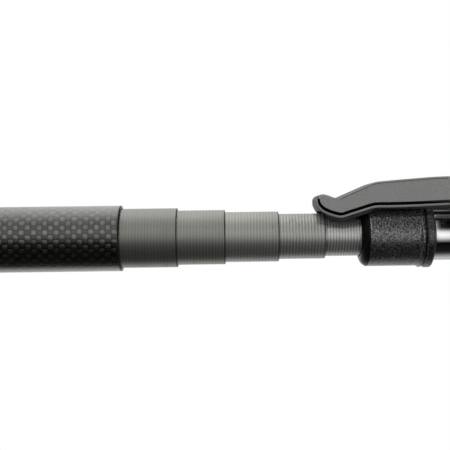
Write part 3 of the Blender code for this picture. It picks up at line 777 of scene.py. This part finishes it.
# ------------------------------------------------------------------ wound tubes
def add_section(number, body, radius, bore, mouth, pitch, ridge_height,
                tone, contrast, rough, gloss, blue):
    node = f"section_{number}"
    base, top = base_of(node), top_of(node)
    skin = radius - 0.02
    loop = fillet([(radius, top), (radius, top - 40.0), (radius, base), (bore, base),
                   (bore, top - 8.0), (mouth, top - 7.4), (mouth, top)],
                  [0.36, 0, 0.1, 0.05, 0, 0, 0.1], steps=5)
    if number > 4:      # finer rows on the top 40 mm
        loop = dense(loop, pitch / 7, z_min=top - 40.1, r_min=skin)
    loop = dense(loop, pitch / 4, r_min=skin)

    def ridge(r, z, t):
        """Helical winding ridges that fade out at the mouth."""
        on = (r > radius - 0.03) * np.clip((top - z) / 0.8, 0, 1)
        turn = (t - TAU * (t > math.pi)) / TAU
        return r + on * ridge_height * np.cos(TAU * (z / pitch + turn))

    material = f"wound_carbon_{number}"
    wound_material(material, pitch=pitch, base=tone, contrast=contrast, rough=rough,
                   seed=3.7 * number, gloss=gloss, grain=0.16 - 0.02 * number,
                   tint=(1.0, 1.0, blue), top=top)
    add_turned(node, loop, material, body,
               segments=56 if number > 3 else 64, shape=ridge, sharp=50)


for number, values in SECTIONS.items():
    add_section(number, *values)

# ------------------------------------------------------------------ clamp head
nose_top, nose_base = top_of("nose_ring"), base_of("nose_ring")
NOSE_CURVE = [(11.62, 1.95), (11.30, 1.45), (10.85, 0.98), (10.30, 0.60), (9.65, 0.30),
              (8.90, 0.10)]
NOSE_LIP = [(8.5, 0.12), (8.25, 0.4), (8.12, 0.9), (8.45, 1.2), (8.12, 1.6)]
nose = through([(11.93, nose_top), (11.90, nose_top - 0.25)] + raised(NOSE_CURVE, nose_base), 4)
nose += raised(NOSE_LIP, nose_base) + [(8.12, nose_top)]
add_turned("nose_ring", nose, "nose_gloss_black", "head_section",
           segments=144, sharp=35)

SLEEVE_SEGMENTS = 430
sleeve_top, sleeve_base = top_of("grip_sleeve"), base_of("grip_sleeve")
sleeve = fillet(
    [(11.95, sleeve_top), (12.42, sleeve_top - 0.5), (12.46, sleeve_top - 1.25),
     (11.87, sleeve_top - 1.95), (11.85, sleeve_base), (9.8, sleeve_base), (9.8, sleeve_top)],
    [0.05, 0.2, 0.3, 0.5, 0.4, 0.1, 0.1], steps=5)
sleeve = dense(sleeve, 0.17, r_min=11.6)
sleeve_grain = surface_grain(len(sleeve), SLEEVE_SEGMENTS, passes=2)


def sleeve_shape(r, z, t):
    return r + np.where(r > 11.3, 0.013 * np.clip(sleeve_grain, -2.0, 2.2), 0.0)


add_turned("grip_sleeve", sleeve, "sleeve_grain", "head_section",
           segments=SLEEVE_SEGMENTS, shape=sleeve_shape, sharp=0)

FLANGE_SEGMENTS = 300
FLANGE = [(10.1, 3.85), (11.5, 3.3), (12.4, 2.85), (12.6, 2.4), (12.6, 0.5), (12.1, 0.0),
          (9.8, 0.0), (9.8, 3.85)]
flange = fillet(raised(FLANGE, base_of("flange_ring")),
                [0.15, 0.3, 0.3, 0.3, 0.15, 0.05, 0.1, 0.1])
flange = dense(flange, 0.2, r_min=10.4)
flange_grain = surface_grain(len(flange), FLANGE_SEGMENTS, passes=1)


def flange_shape(r, z, t):
    knurl = np.cos(60 * t + z * 3.4) * np.cos(60 * t - z * 3.4)
    return r + np.where(r > 10.6, 0.014 * np.clip(flange_grain, -2, 2) + 0.020 * knurl, 0.0)


add_turned("flange_ring", flange, "flange_grain", "head_section",
           segments=FLANGE_SEGMENTS, shape=flange_shape, sharp=0)

ferrule_top = top_of("ferrule")
FERRULE_SIDE = [(9.9, 8.6), (9.6, 8.4), (9.6, 7.7), (9.9, 7.5), (9.9, -0.7), (9.75, -0.75),
                (9.75, 0.0), (7.95, 0.0)]
ferrule = [(9.9, ferrule_top)] + raised(FERRULE_SIDE, base_of("ferrule"))
ferrule += [(7.95, 476.3), (6.25, 476.3), (6.25, ferrule_top)]
add_turned("ferrule", fillet(ferrule, 0.16), "polished_ferrule", "head_section",
           segments=144)

# local x is world +Z, local y is world -X, local z is world -Y, centred on the pivot
FLANK = Matrix(((0, -1, 0, -PIVOT_REACH * MM), (0, 0, -1, 0), (1, 0, 0, PIVOT_Z * MM),
                (0, 0, 0, 1)))
PIN_AXIS = crosswise(-PIVOT_REACH, PIVOT_Z)


def pin_hole():
    return moved(disc(PIN_HOLE_R, 14.0, -14.0, 32), PIN_AXIS)


def add_lock_body():
    """Turned collar with two grooves, a rounded cheek and a slot for the lever's cam."""
    top, base = top_of("lock_body"), base_of("lock_body")
    collar = fillet(
        [(12.0, top), (12.0, 503.4), (11.6, 503.1), (11.6, 502.3), (12.0, 502.0),
         (12.0, 480.4), (11.6, 480.1), (11.6, 479.3), (12.0, 479.0), (12.0, base),
         (10.15, base), (10.15, 482.3), (6.2, 482.3), (6.2, top)],
        [1.6, 0.1, 0.1, 0.1, 0.1, 0.1, 0.1, 0.1, 0.1, 0.7, 0.2, 0, 0, 0.3], steps=5)
    cheek_r = 5.5
    cheek = ([(-cheek_r, -8.0), (-cheek_r, 0.0)] + arc(0, 0, cheek_r, 180, 0, 24)[1:-1]
             + [(cheek_r, 0.0), (cheek_r, -8.0)])
    slot = box((-30.0, -9.6), (-4.3, 4.3), (PIVOT_Z - 7.0, PIVOT_Z + 7.0))
    window = box((-12.0, -4.0), (-3.5, 3.5), (PIVOT_Z - 5.7, PIVOT_Z + 5.7))
    mesh = carve(lathe(collar, 112), [("+", slab(cheek, 7.4, 0.45, FLANK)), ("-", slot),
                                      ("-", window), ("-", pin_hole())])
    add_piece("lock_body", mesh, "black_anodised", "head_section", sharp=32)


add_lock_body()

wiper_top = top_of("wiper_cap")
WIPER_CROWN = [(6.9, 0.0), (7.4, -0.9), (8.6, -0.5), (9.7, -1.0), (10.0, -1.8)]
wiper_base = base_of("wiper_cap")
wiper = raised(WIPER_CROWN, wiper_top) + [(10.0, wiper_base), (6.3, wiper_base)]
wiper += [(6.15, wiper_top - 0.5), (6.3, wiper_top)]
add_turned("wiper_cap", fillet(wiper, 0.16, steps=3), "moulded_rubber", "head_section")

# head and a narrow groove near each end; heights run towards -Y
PIN = [(CORE, 12.6), (1.1, 12.6), (1.1, 12.1), (1.3, 12.1), (1.3, 12.6), (2.35, 12.6),
       (2.6, 12.2), (2.6, 11.1), (1.5, 11.1), (1.5, -11.2), (1.35, -11.25), (1.35, -11.95),
       (1.5, -12.0), (1.5, -12.2), (1.2, -12.5), (CORE, -12.5)]
pin = lathe(fillet(PIN, 0.06, skip=(0, 15), steps=2), 48, closed=False)
add_piece("pivot_pin", moved(pin, PIN_AXIS), "turned_steel", "head_section", sharp=35)

# radius, start angle, end angle, steps round the clip: outside, then back along the inside
CLIP_ARCS = [(3.0, 25, 335, 40), (1.5, 335, 300, 4), (2.0, 300, 250, 6), (1.5, 250, 200, 5),
             (2.0, 200, 160, 4), (1.5, 160, 110, 5), (2.0, 110, 60, 6), (1.5, 60, 25, 4)]
clip = [point for values in CLIP_ARCS for point in arc(0, 0, *values)]
clip = slab(clip, 0.35, 0.08, edge_steps=2)
add_piece("pin_clip", moved(clip, shift(y=11.6) @ PIN_AXIS), "turned_steel", "head_section",
          sharp=35)

# ------------------------------------------------------------------ cam lever
LEVER_HALF = 10.8         # half width along Y
HOLLOW_HALF = 8.8
GROOVE_HALF = 0.60
CREASE_OFFSET = 1.62      # from the groove's centre line
HAIR_INSET = 0.78         # from the outer edge
# (z, reach) of the outer edge, then round the tip and back along the pole side
LEVER_EDGE = [
    (470.0, 21.95), (464.6, 21.8), (455.6, 21.2), (448.0, 20.65), (443.9, 20.3),
    (442.0, 19.95), (440.0, 19.16), (436.0, 17.45), (432.0, 15.74), (429.6, 14.75),
    (428.3, 14.4), (427.0, 14.5), (424.6, 15.4), (422.5, 15.75), (421.1, 14.6),
    (420.75, 12.9), (421.35, 11.0), (422.6, 8.95), (424.4, 7.45), (426.75, 6.28),
    (428.8, 5.6), (430.4, 5.4), (433.6, 6.4), (437.7, 7.7), (440.2, 8.5), (442.2, 9.55),
    (444.4, 9.85)]
# (z, reach) of the space between the flanks, open towards the pole
LEVER_HOLLOW = [
    (462.0, 32.0), (462.0, 19.45), (455.6, 19.0), (448.0, 18.4), (444.0, 18.0),
    (441.4, 17.4), (437.0, 15.6), (432.4, 13.6), (429.3, 12.3), (427.0, 12.2),
    (425.2, 12.9), (424.0, 13.2), (423.2, 12.4), (423.0, 11.2), (423.0, 9.6),
    (414.0, 9.2), (414.0, -4.0), (506.0, -4.0), (506.0, 32.0)]
# (z, reach) of the groove's centre line on both flanks, from the tip upward
LEVER_GROOVE = [
    (421.3, 14.1), (421.35, 12.7), (422.1, 11.4), (423.5, 10.3), (425.4, 9.35),
    (427.6, 8.62), (429.3, 8.25), (430.6, 8.38), (432.0, 8.84), (433.9, 9.42),
    (436.8, 10.3), (440.0, 11.3), (442.2, 11.82), (444.4, 11.95), (448.0, 11.93),
    (453.0, 11.98), (458.4, 12.12), (466.1, 12.42), (474.0, 12.65), (484.0, 12.9)]
# (z, reach) from the pivot: the strip that joins the cam to the lever
CAM_STRIP = [(-32.0, 5.0), (-32.0, 3.7), (-16.0, 1.6), (-9.5, 0.2)]


def from_pivot(points):
    return [(z - PIVOT_Z, reach - PIVOT_REACH) for z, reach in points]


def side_normals(path):
    """Unit normals on the right of a (z, reach) path: where it climbs, the pole side."""
    tangent = np.gradient(path, axis=0)
    tangent /= np.linalg.norm(tangent, axis=1)[:, None]
    return np.stack([tangent[:, 1], -tangent[:, 0]], -1)


def channel(path, normals, half, depth, side):
    """A cutter along the path, half wide each way and depth deep in the flank at side Y."""
    cutter_half = 1.6
    offset = normals * half[:, None]
    loop = [tuple(p) for p in path + offset] + [tuple(p) for p in (path - offset)[::-1]]
    centre = side * (LEVER_HALF + cutter_half - depth)
    return moved(slab(from_pivot(loop), cutter_half, matrix=FLANK), shift(y=centre))


def paint_lever(mesh, groove, normals, crease):
    """Gives each face its material by where it lies on the lever; the groove, crease, lower
    rim, hollow and edge faces get darker copies of the plastic as painted shade.
    """
    count = len(mesh.polygons)
    centres = np.empty(count * 3, np.float32)
    mesh.polygons.foreach_get("center", centres)
    centres = centres.reshape(-1, 3) / MM
    facing_y = np.empty(count * 3, np.float32)
    mesh.polygons.foreach_get("normal", facing_y)
    facing_y = np.abs(facing_y.reshape(-1, 3)[:, 1])
    is_bead = np.empty(count, np.int32)
    mesh.attributes["bead"].data.foreach_get("value", is_bead)
    z, reach, out = centres[:, 2], -centres[:, 0], np.abs(centres[:, 1])

    def distances(path):
        return np.hypot(z[:, None] - path[None, :, 0], reach[:, None] - path[None, :, 1])

    to_groove = distances(groove)
    near = np.argmin(to_groove, axis=1)
    pole_side = ((z - groove[near, 0]) * normals[near, 0]
                 + (reach - groove[near, 1]) * normals[near, 1]) > 0.2
    # painted shade: the groove and the crease beside the bead are painted black
    in_groove = (out > 8.9) & (out < 10.74) & (to_groove.min(axis=1) < GROOVE_HALF + 0.04)
    in_crease = (out > 9.8) & (out < 10.72) & (distances(crease).min(axis=1) < 0.20)
    # painted shade: the lower rim on the pole side of the groove and the inner faces of the
    # hollow get a near-black copy of the lever plastic
    inner_face = (facing_y > 0.9) & (np.abs(out - HOLLOW_HALF) < 0.06) & (z < 440)
    rim = (pole_side & (out > 8.6) & (z < 484)) | inner_face
    # painted shade: the edge faces that do not face along Y get a darker copy of the lever
    # plastic
    wall = (facing_y < 0.4) & (z < 476)
    for name in ("groove_black", "lever_rim", "lever_bead", "lever_wall"):
        mesh.materials.append(MATERIALS[name])
    index = np.select([is_bead > 0, in_groove | in_crease, rim, wall], [3, 1, 2, 4], 0)
    mesh.polygons.foreach_set("material_index", index.astype(np.int32))


def add_lever():
    outline = from_pivot(through(LEVER_EDGE, 5) + [(466.0, 9.86), (482.0, 10.05)])
    outline += arc(0, 0, 6.2, -82, 84, 40) + from_pivot([(480.0, 22.05)])
    body = slab(outline, LEVER_HALF, 0.45, FLANK, edge_steps=4)
    hollow = slab(from_pivot(LEVER_HOLLOW), HOLLOW_HALF, matrix=FLANK)
    cam = slab(CAM_STRIP + arc(0, -0.8, 5.5, 190, 450, 60) + [(-8.0, 5.3)], 4.0, matrix=FLANK)

    groove = np.array(through(LEVER_GROOVE, 5))
    normals = side_normals(groove)
    steps = np.arange(len(groove))
    groove_half = np.ones(len(groove)) * GROOVE_HALF
    groove_half[:4] = GROOVE_HALF * np.array([0.35, 0.7, 0.9, 1.0])
    # a fine crease on the pole side of the bead, narrowing towards the tip
    creased = slice(22, len(groove))
    crease = (groove + normals * CREASE_OFFSET)[creased]
    crease_half = 0.17 * np.clip((steps - 20) / 8.0, 0.3, 1.0)[creased]
    # a hairline just inside the outer edge
    hair = np.array(through([(z, reach - HAIR_INSET) for z, reach in LEVER_EDGE[9::-1]], 5))
    # path, normals, half width, depth
    lines = [(groove, normals, groove_half, 1.8),
             (crease, normals[creased], crease_half, 0.9),
             (hair, side_normals(hair), np.full(len(hair), 0.10), 1.72)]
    cuts = [("-", channel(*line, side)) for line in lines for side in (-1, 1)]
    body = carve(body, [("-", hollow), ("+", cam), *cuts, ("-", pin_hole())])

    # a round bead beside the groove; on the +Y flank it starts further from the tip
    near_tip = np.clip(steps / 14.0, 0.0, 1.0)
    bead_path = groove + normals * (0.66 + 0.40 * near_tip)[:, None]
    beads = []
    for side, start in ((-1, 0), (1, 16)):
        points = [(-reach, side * 10.70, z) for z, reach in bead_path[start:]]
        beads.append(sweep(points, radius=0.48, sides=16, squash=0.85))
    for part, is_bead in [(body, 0)] + [(bead, 1) for bead in beads]:
        mark = part.attributes.new("bead", "INT", "FACE")
        mark.data.foreach_set("value", np.full(len(part.polygons), is_bead, np.int32))
    mesh = joined([body] + beads)
    add_piece("cam_lever", mesh, "lever_satin", "lever", sharp=32)
    paint_lever(mesh, groove, normals, crease)


add_lever()

# ------------------------------------------------------------------ mast and its top adapter
mast_top, mast_base = top_of("mast_tube"), base_of("mast_tube")
mast = fillet([(6.0, mast_top), (6.0, mast_base), (4.8, mast_base), (4.8, mast_top)], 0.3)
add_turned("mast_tube", dense(mast, 8.0, r_min=5.5), "mast_scale", "mast",
           name="mast_visual")

SEAT_Z = 528.0                # top face of the wide rim, below the thread
STUD_TOP = top_of("top_adapter")
STUD_R = 7.94
THREAD_PITCH = 25.4 / 11      # eleven threads to the inch
THREAD_DEPTH = 1.25
BELOW_SEAT = [
    (STUD_R, 1.6), (7.0, 1.0), (7.0, -0.3), (8.5, -0.5), (8.5, 0.0), (12.2, 0.0),
    (12.5, -0.3), (12.5, -2.9), (12.2, -3.2), (11.4, -3.7), (9.7, -4.0), (9.3, -4.3),
    (9.3, -5.0), (9.5, -5.2)]
stud = raised([(CORE, 0.0), (6.4, 0.0), (7.1, -0.5), (STUD_R, -1.5)], STUD_TOP)
stud += raised(BELOW_SEAT, SEAT_Z)
stud += [(9.5, 513.2), (8.9, 512.2), (6.5, 512.2), (6.3, 512.5), (6.3, 521.3), (CORE, 521.3)]


def stud_shape(r, z, t):
    """A thread on the stud, a knurl on the grip and notches round the rim."""
    phase = (z / THREAD_PITCH - t / TAU) % 1.0
    depth = THREAD_DEPTH * np.clip(1.12 * (1 - 2 * np.abs(phase - 0.5)) - 0.06, 0, 1)
    fade = np.clip((z - (SEAT_Z + 1.6)) / 1.6, 0, 1)
    r = np.where((r > 7.9) & (r < 8.0) & (z > SEAT_Z + 1.0), r - depth * fade, r)
    knurl = np.maximum(np.cos(40 * t + z * 3.6), np.cos(40 * t - z * 3.6))
    grip = (np.clip((z - 513.2) / 0.4, 0, 1) * np.clip((SEAT_Z - 5.2 - z) / 0.4, 0, 1)
            * ((r > 9.4) & (r < 9.6)))
    r = r - grip * 0.16 * np.clip(knurl, 0, 1)
    rim = (r > 12.4) & (z < SEAT_Z - 0.2) & (z > SEAT_Z - 3.0)
    return r - rim * 0.22 * np.clip(np.cos(60 * t), 0, 1) ** 2


add_turned("top_adapter", dense(stud, 0.17, r_min=7.9, closed=False), "black_anodised", "mast",
           segments=240, shape=stud_shape, closed=False, sharp=55)

# ------------------------------------------------------------------ bubble level
CLAMP_Z = 234.0
BAND_IN, BAND_OUT = 13.0, 16.2      # radii of the band round the pole
EAR_END = -25.0                     # x of the ends of the two ears
EAR_IN, EAR_OUT, EAR_R = 1.2, 5.6, 1.2
CLAMP_SCREW = crosswise(-20.8, CLAMP_Z)
LEVEL_X = 32.0                      # centre of the level
CUP_Z = base_of("level_cup")
SCREW_CIRCLE_R = 12.4
SCREW_HOLE_R = 1.35
SCREW_PLACES = [
    (LEVEL_X + SCREW_CIRCLE_R * math.cos(math.radians(60 + 120 * i)),
     SCREW_CIRCLE_R * math.sin(math.radians(60 + 120 * i))) for i in range(3)]


def screw_holes(top, bottom):
    return [("-", disc(SCREW_HOLE_R, top, bottom, 24, cx=x, cy=y)) for x, y in SCREW_PLACES]


def add_level_clamp():
    """Split band with two ears, an arm for the cup and a rib between them."""
    turn_out = 180 - math.degrees(math.asin(EAR_OUT / BAND_OUT))
    turn_in = 180 - math.degrees(math.asin(EAR_IN / BAND_IN))
    corner_x, corner_y = EAR_END + EAR_R, EAR_OUT - EAR_R
    band = ([(EAR_END, -EAR_IN), (EAR_END, -corner_y)]
            + arc(corner_x, -corner_y, EAR_R, 180, 270, 5)[1:]
            + arc(0, 0, BAND_OUT, -turn_out, turn_out, 90)
            + arc(corner_x, corner_y, EAR_R, 90, 180, 5) + [(EAR_END, EAR_IN)]
            + arc(0, 0, BAND_IN, turn_in, -turn_in, 90))
    arm = ([(14.6, -6.5), (LEVEL_X - 13.0, -7.5)] + arc(LEVEL_X, 0, 15.0, -150, 150, 60)
           + [(LEVEL_X - 13.0, 7.5), (14.6, 6.5)])
    steps = [("+", slab(arm, 2.3, 0.4, shift(z=230.3))),
             ("+", box((15.2, 20.6), (-1.0, 1.0), (231.0, 238.6))),
             ("-", moved(disc(2.15, 9.0, -9.0, 32), CLAMP_SCREW))]
    mesh = carve(slab(band, 7.0, 0.5, shift(z=CLAMP_Z)), steps + screw_holes(233.2, 224.0))
    add_piece("level_clamp", mesh, "black_moulding", "butt", sharp=32)


def add_clamp_screw():
    profile = [(CORE, 9.4), (3.3, 9.4), (3.6, 9.1), (3.6, 5.95), (2.0, 5.9), (2.0, -10.4),
               (1.6, -10.8), (CORE, -10.8)]

    def knurled(r, z, t):
        return r - 0.12 * ((r > 3.5) & (z > 6.1) & (z < 9.0)) * np.clip(np.cos(24 * t), 0, 1)

    screw = lathe(fillet(profile, 0.15, skip=(0, 7), steps=3), 72, knurled, closed=False)
    socket = slab(arc(0, 0, 1.75, 0, 300, 5), 2.0, matrix=shift(z=9.6))
    screw = moved(carve(screw, [("-", socket)]), CLAMP_SCREW)
    add_piece("level_clamp_screw", screw, "turned_steel", "butt", sharp=32)


def add_clamp_nut():
    profile = [(3.75, 1.6), (4.15, 1.3), (4.15, -1.3), (3.75, -1.6), (2.1, -1.6), (2.1, 1.6)]
    nut = lathe(dense(fillet(profile, 0.1, steps=2), 0.5), 96, hexed(7.0))
    add_piece("level_clamp_nut", moved(nut, shift(y=7.5) @ CLAMP_SCREW), "turned_steel",
              "butt", sharp=30)


def add_level_cup():
    profile = [
        (9.9, 11.0), (10.2, 10.7), (10.2, 7.6), (10.0, 7.4), (10.0, 6.6), (10.2, 6.4),
        (10.2, 2.6), (14.4, 2.6), (14.8, 2.2), (14.8, 0.0), (CORE, 0.0), (CORE, 2.0),
        (8.6, 2.0), (8.6, 11.0)]
    radii = [0.2, 0.2, 0.1, 0.1, 0.1, 0.1, 0.5, 0.2, 0.2, 0.2, 0, 0, 0, 0.2]
    cup = lathe(fillet(raised(profile, CUP_Z), radii), 112, cx=LEVEL_X)
    add_piece("level_cup", carve(cup, screw_holes(CUP_Z + 4.0, CUP_Z - 1.0)),
              "black_moulding", "butt", sharp=35)


# heights from the base of the cup
VIAL = [(CORE, 10.6), (2.2, 10.55), (4.4, 10.4), (6.4, 10.15), (7.9, 9.8), (8.25, 9.4),
        (8.3, 9.0), (8.3, 2.3), (CORE, 2.3)]
LIQUID = [(CORE, 9.6), (4.0, 9.45), (7.0, 8.9), (7.3, 8.5), (7.3, 2.9), (CORE, 2.9)]
BUBBLE = [(CORE, 9.52), (1.4, 9.45), (2.3, 9.2), (2.6, 8.8), (2.2, 8.3), (1.2, 8.0),
          (CORE, 7.9)]
MARK_RING = [(3.45, 10.62), (3.45, 10.40), (3.10, 10.42), (3.10, 10.64)]
# name, node, profile, material, slot, segments, closed loop, sharp angle
VIAL_PARTS = [
    ("vial_visual", "level_vial", VIAL, "vial_glass", "vial_glass", 96, False, 50),
    ("vial_liquid_visual", None, LIQUID, "vial_liquid", "vial_glass", 80, False, 50),
    ("vial_bubble_visual", None, BUBBLE, "vial_bubble", "vial_glass", 48, False, 0),
    ("vial_mark_visual", None, MARK_RING, "vial_mark", "black_plastic", 72, True, 30),
]


def add_level_screw(number, x, y):
    """Domed screw with a cross slot."""
    head = [(CORE, 4.3), (1.45, 4.25), (1.85, 3.8), (1.9, 3.4), (1.9, 2.7), (1.15, 2.7)]
    profile = raised(head, CUP_Z) + [(1.15, 226.6), (CORE, 226.6)]
    screw = lathe(fillet(profile, 0.08, skip=(0, 7), steps=2), 40, closed=False, cx=x, cy=y)
    slots = [("-", box((x - a, x + a), (y - b, y + b), (CUP_Z + 3.6, CUP_Z + 5.0)))
             for a, b in ((1.2, 0.22), (0.22, 1.2))]
    add_piece(f"level_screw_{number}", carve(screw, slots), "turned_steel", "butt",
              sharp=32)


add_level_clamp()
add_clamp_screw()
add_clamp_nut()
add_level_cup()
for name, node, profile, material, slot, segments, closed, sharp in VIAL_PARTS:
    add_turned(node, raised(profile, CUP_Z), material, "butt", segments,
               closed=closed, cx=LEVEL_X, sharp=sharp, name=name)
for i, (x, y) in enumerate(SCREW_PLACES):
    add_level_screw(i + 1, x, y)

# ------------------------------------------------------------------ carried-over CAD nodes
slot_of = {part["node"]: part["material_slot"] for part in frame["record"]["subparts"]}
for node, obj in frame["nodes"].items():
    if obj.hide_render:
        continue
    material = MATERIALS[SLOT_MATERIAL[slot_of[node]]]
    if obj.data.materials:
        for i in range(len(obj.data.materials)):
            obj.data.materials[i] = material
    else:
        obj.data.materials.append(material)

# ------------------------------------------------------------------ studio
# (degrees from -Y towards -X, radiance) of the light from the foot end and the head end
LIGHT_FOOT = [
    (-180, 1.3), (-162, 1.3), (-144, 1.35), (-126, 1.5), (-108, 0.1), (-90, 0.0), (-14, 0.0),
    (5, 1.6), (23, 3.1), (39, 2.6), (56, 2.3), (72, 2.9), (90, 4.0), (108, 3.6), (126, 2.8),
    (144, 1.7), (162, 1.3), (180, 1.3)]
LIGHT_HEAD = [
    (-180, 1.1), (-162, 1.1), (-144, 0.9), (-126, 1.0), (-108, 0.55), (-92, 0.1),
    (-80, 0.02), (-50, 0.01), (-36, 0.0), (-26, 0.5), (-14, 1.7), (-1, 2.3), (11, 1.7),
    (21, 0.4), (29, 0.0), (76, 0.0), (92, 0.12), (108, 0.32), (126, 0.6), (144, 0.6),
    (162, 0.9), (180, 1.1)]


def light_ramp(g, turn, table):
    node = g.node("ShaderNodeValToRGB", [turn])
    elements = node.color_ramp.elements
    while len(elements) < len(table):
        elements.new(0.5)
    for element, (angle, value) in zip(elements, table):
        element.position = (angle + 180) / 360
        element.color = (value, value, value, 1.0)
    return node.outputs[0]


def build_world():
    """Light that varies round and along the pole; the camera itself sees plain white."""
    world = bpy.data.worlds.new("studio")
    bpy.context.scene.world = world
    world.use_nodes = True
    world.node_tree.nodes.clear()
    g = Nodes(world.node_tree)
    x, y, z = g.xyz(g.node("ShaderNodeTexCoord").outputs["Generated"])
    angle = g.math("ARCTAN2", g.mul(x, -1.0), g.mul(y, -1.0))
    turn = g.line(angle, gain=1 / TAU, base=0.5)
    head_share = g.remap(z, start=0.02, end=0.14, low=0.0, high=1.0, smooth=True)
    light = g.mix(head_share, light_ramp(g, turn, LIGHT_FOOT), light_ramp(g, turn, LIGHT_HEAD))
    # falls off towards both poles of the sky, faster below
    below = g.math("LESS_THAN", z, 0.0)
    rate = g.line(below, gain=-1.9, base=-1.6)
    fall = g.math("POWER", 2.718, g.mul(g.mul(z, z), rate))
    light = g.mix(1.0, light, g.rgb(fall), blend="MULTIPLY")
    # an even glow overhead, and pale light coming back from the floor
    lift = g.remap(z, start=0.35, end=0.8, low=0.0, high=0.3, smooth=True)
    bounce = g.remap(z, start=-0.62, end=-0.32, low=0.28, high=0.0, smooth=True)
    light = g.mix(1.0, light, g.rgb(g.add(lift, bounce)), blend="ADD")
    lit = g.node("ShaderNodeBackground", [light]).outputs[0]
    seen = g.node("ShaderNodeBackground", [(1.0, 1.0, 1.0)]).outputs[0]
    is_camera = g.node("ShaderNodeLightPath").outputs["Is Camera Ray"]
    shader = g.node("ShaderNodeMixShader", (is_camera, lit, seen)).outputs[0]
    g.node("ShaderNodeOutputWorld", [shader])


def add_floor():
    floor_material()
    mesh = disc(1200.0, -0.05, -6.0, 96)
    mesh.materials.append(MATERIALS["pale_floor"])
    floor = new_object("floor", mesh)
    floor.visible_diffuse = False
    floor.visible_glossy = False
    floor.visible_transmission = False


def add_camera():
    """Looks along +Y; world +Z runs to the right of the view, rolled slightly."""
    roll = math.radians(0.72)
    place = Vector((-4.68, -348.0, 386.06)) * MM
    data = bpy.data.cameras.new("camera")
    data.lens = 72.0
    data.sensor_width = 36.0
    data.clip_start = 0.01
    data.clip_end = 20.0
    camera = new_object("camera", data)
    right = (math.sin(roll), 0, math.cos(roll), 0)
    up = (-math.cos(roll), 0, math.sin(roll), 0)
    back = (0, -1, 0, 0)
    camera.matrix_world = Matrix((right, up, back, (*place, 1))).transposed()
    bpy.context.scene.camera = camera


build_world()
add_floor()
add_camera()

view = bpy.context.scene.view_settings
view.view_transform = "Standard"
view.look = "None"
view.exposure = 0.0
view.gamma = 1.0
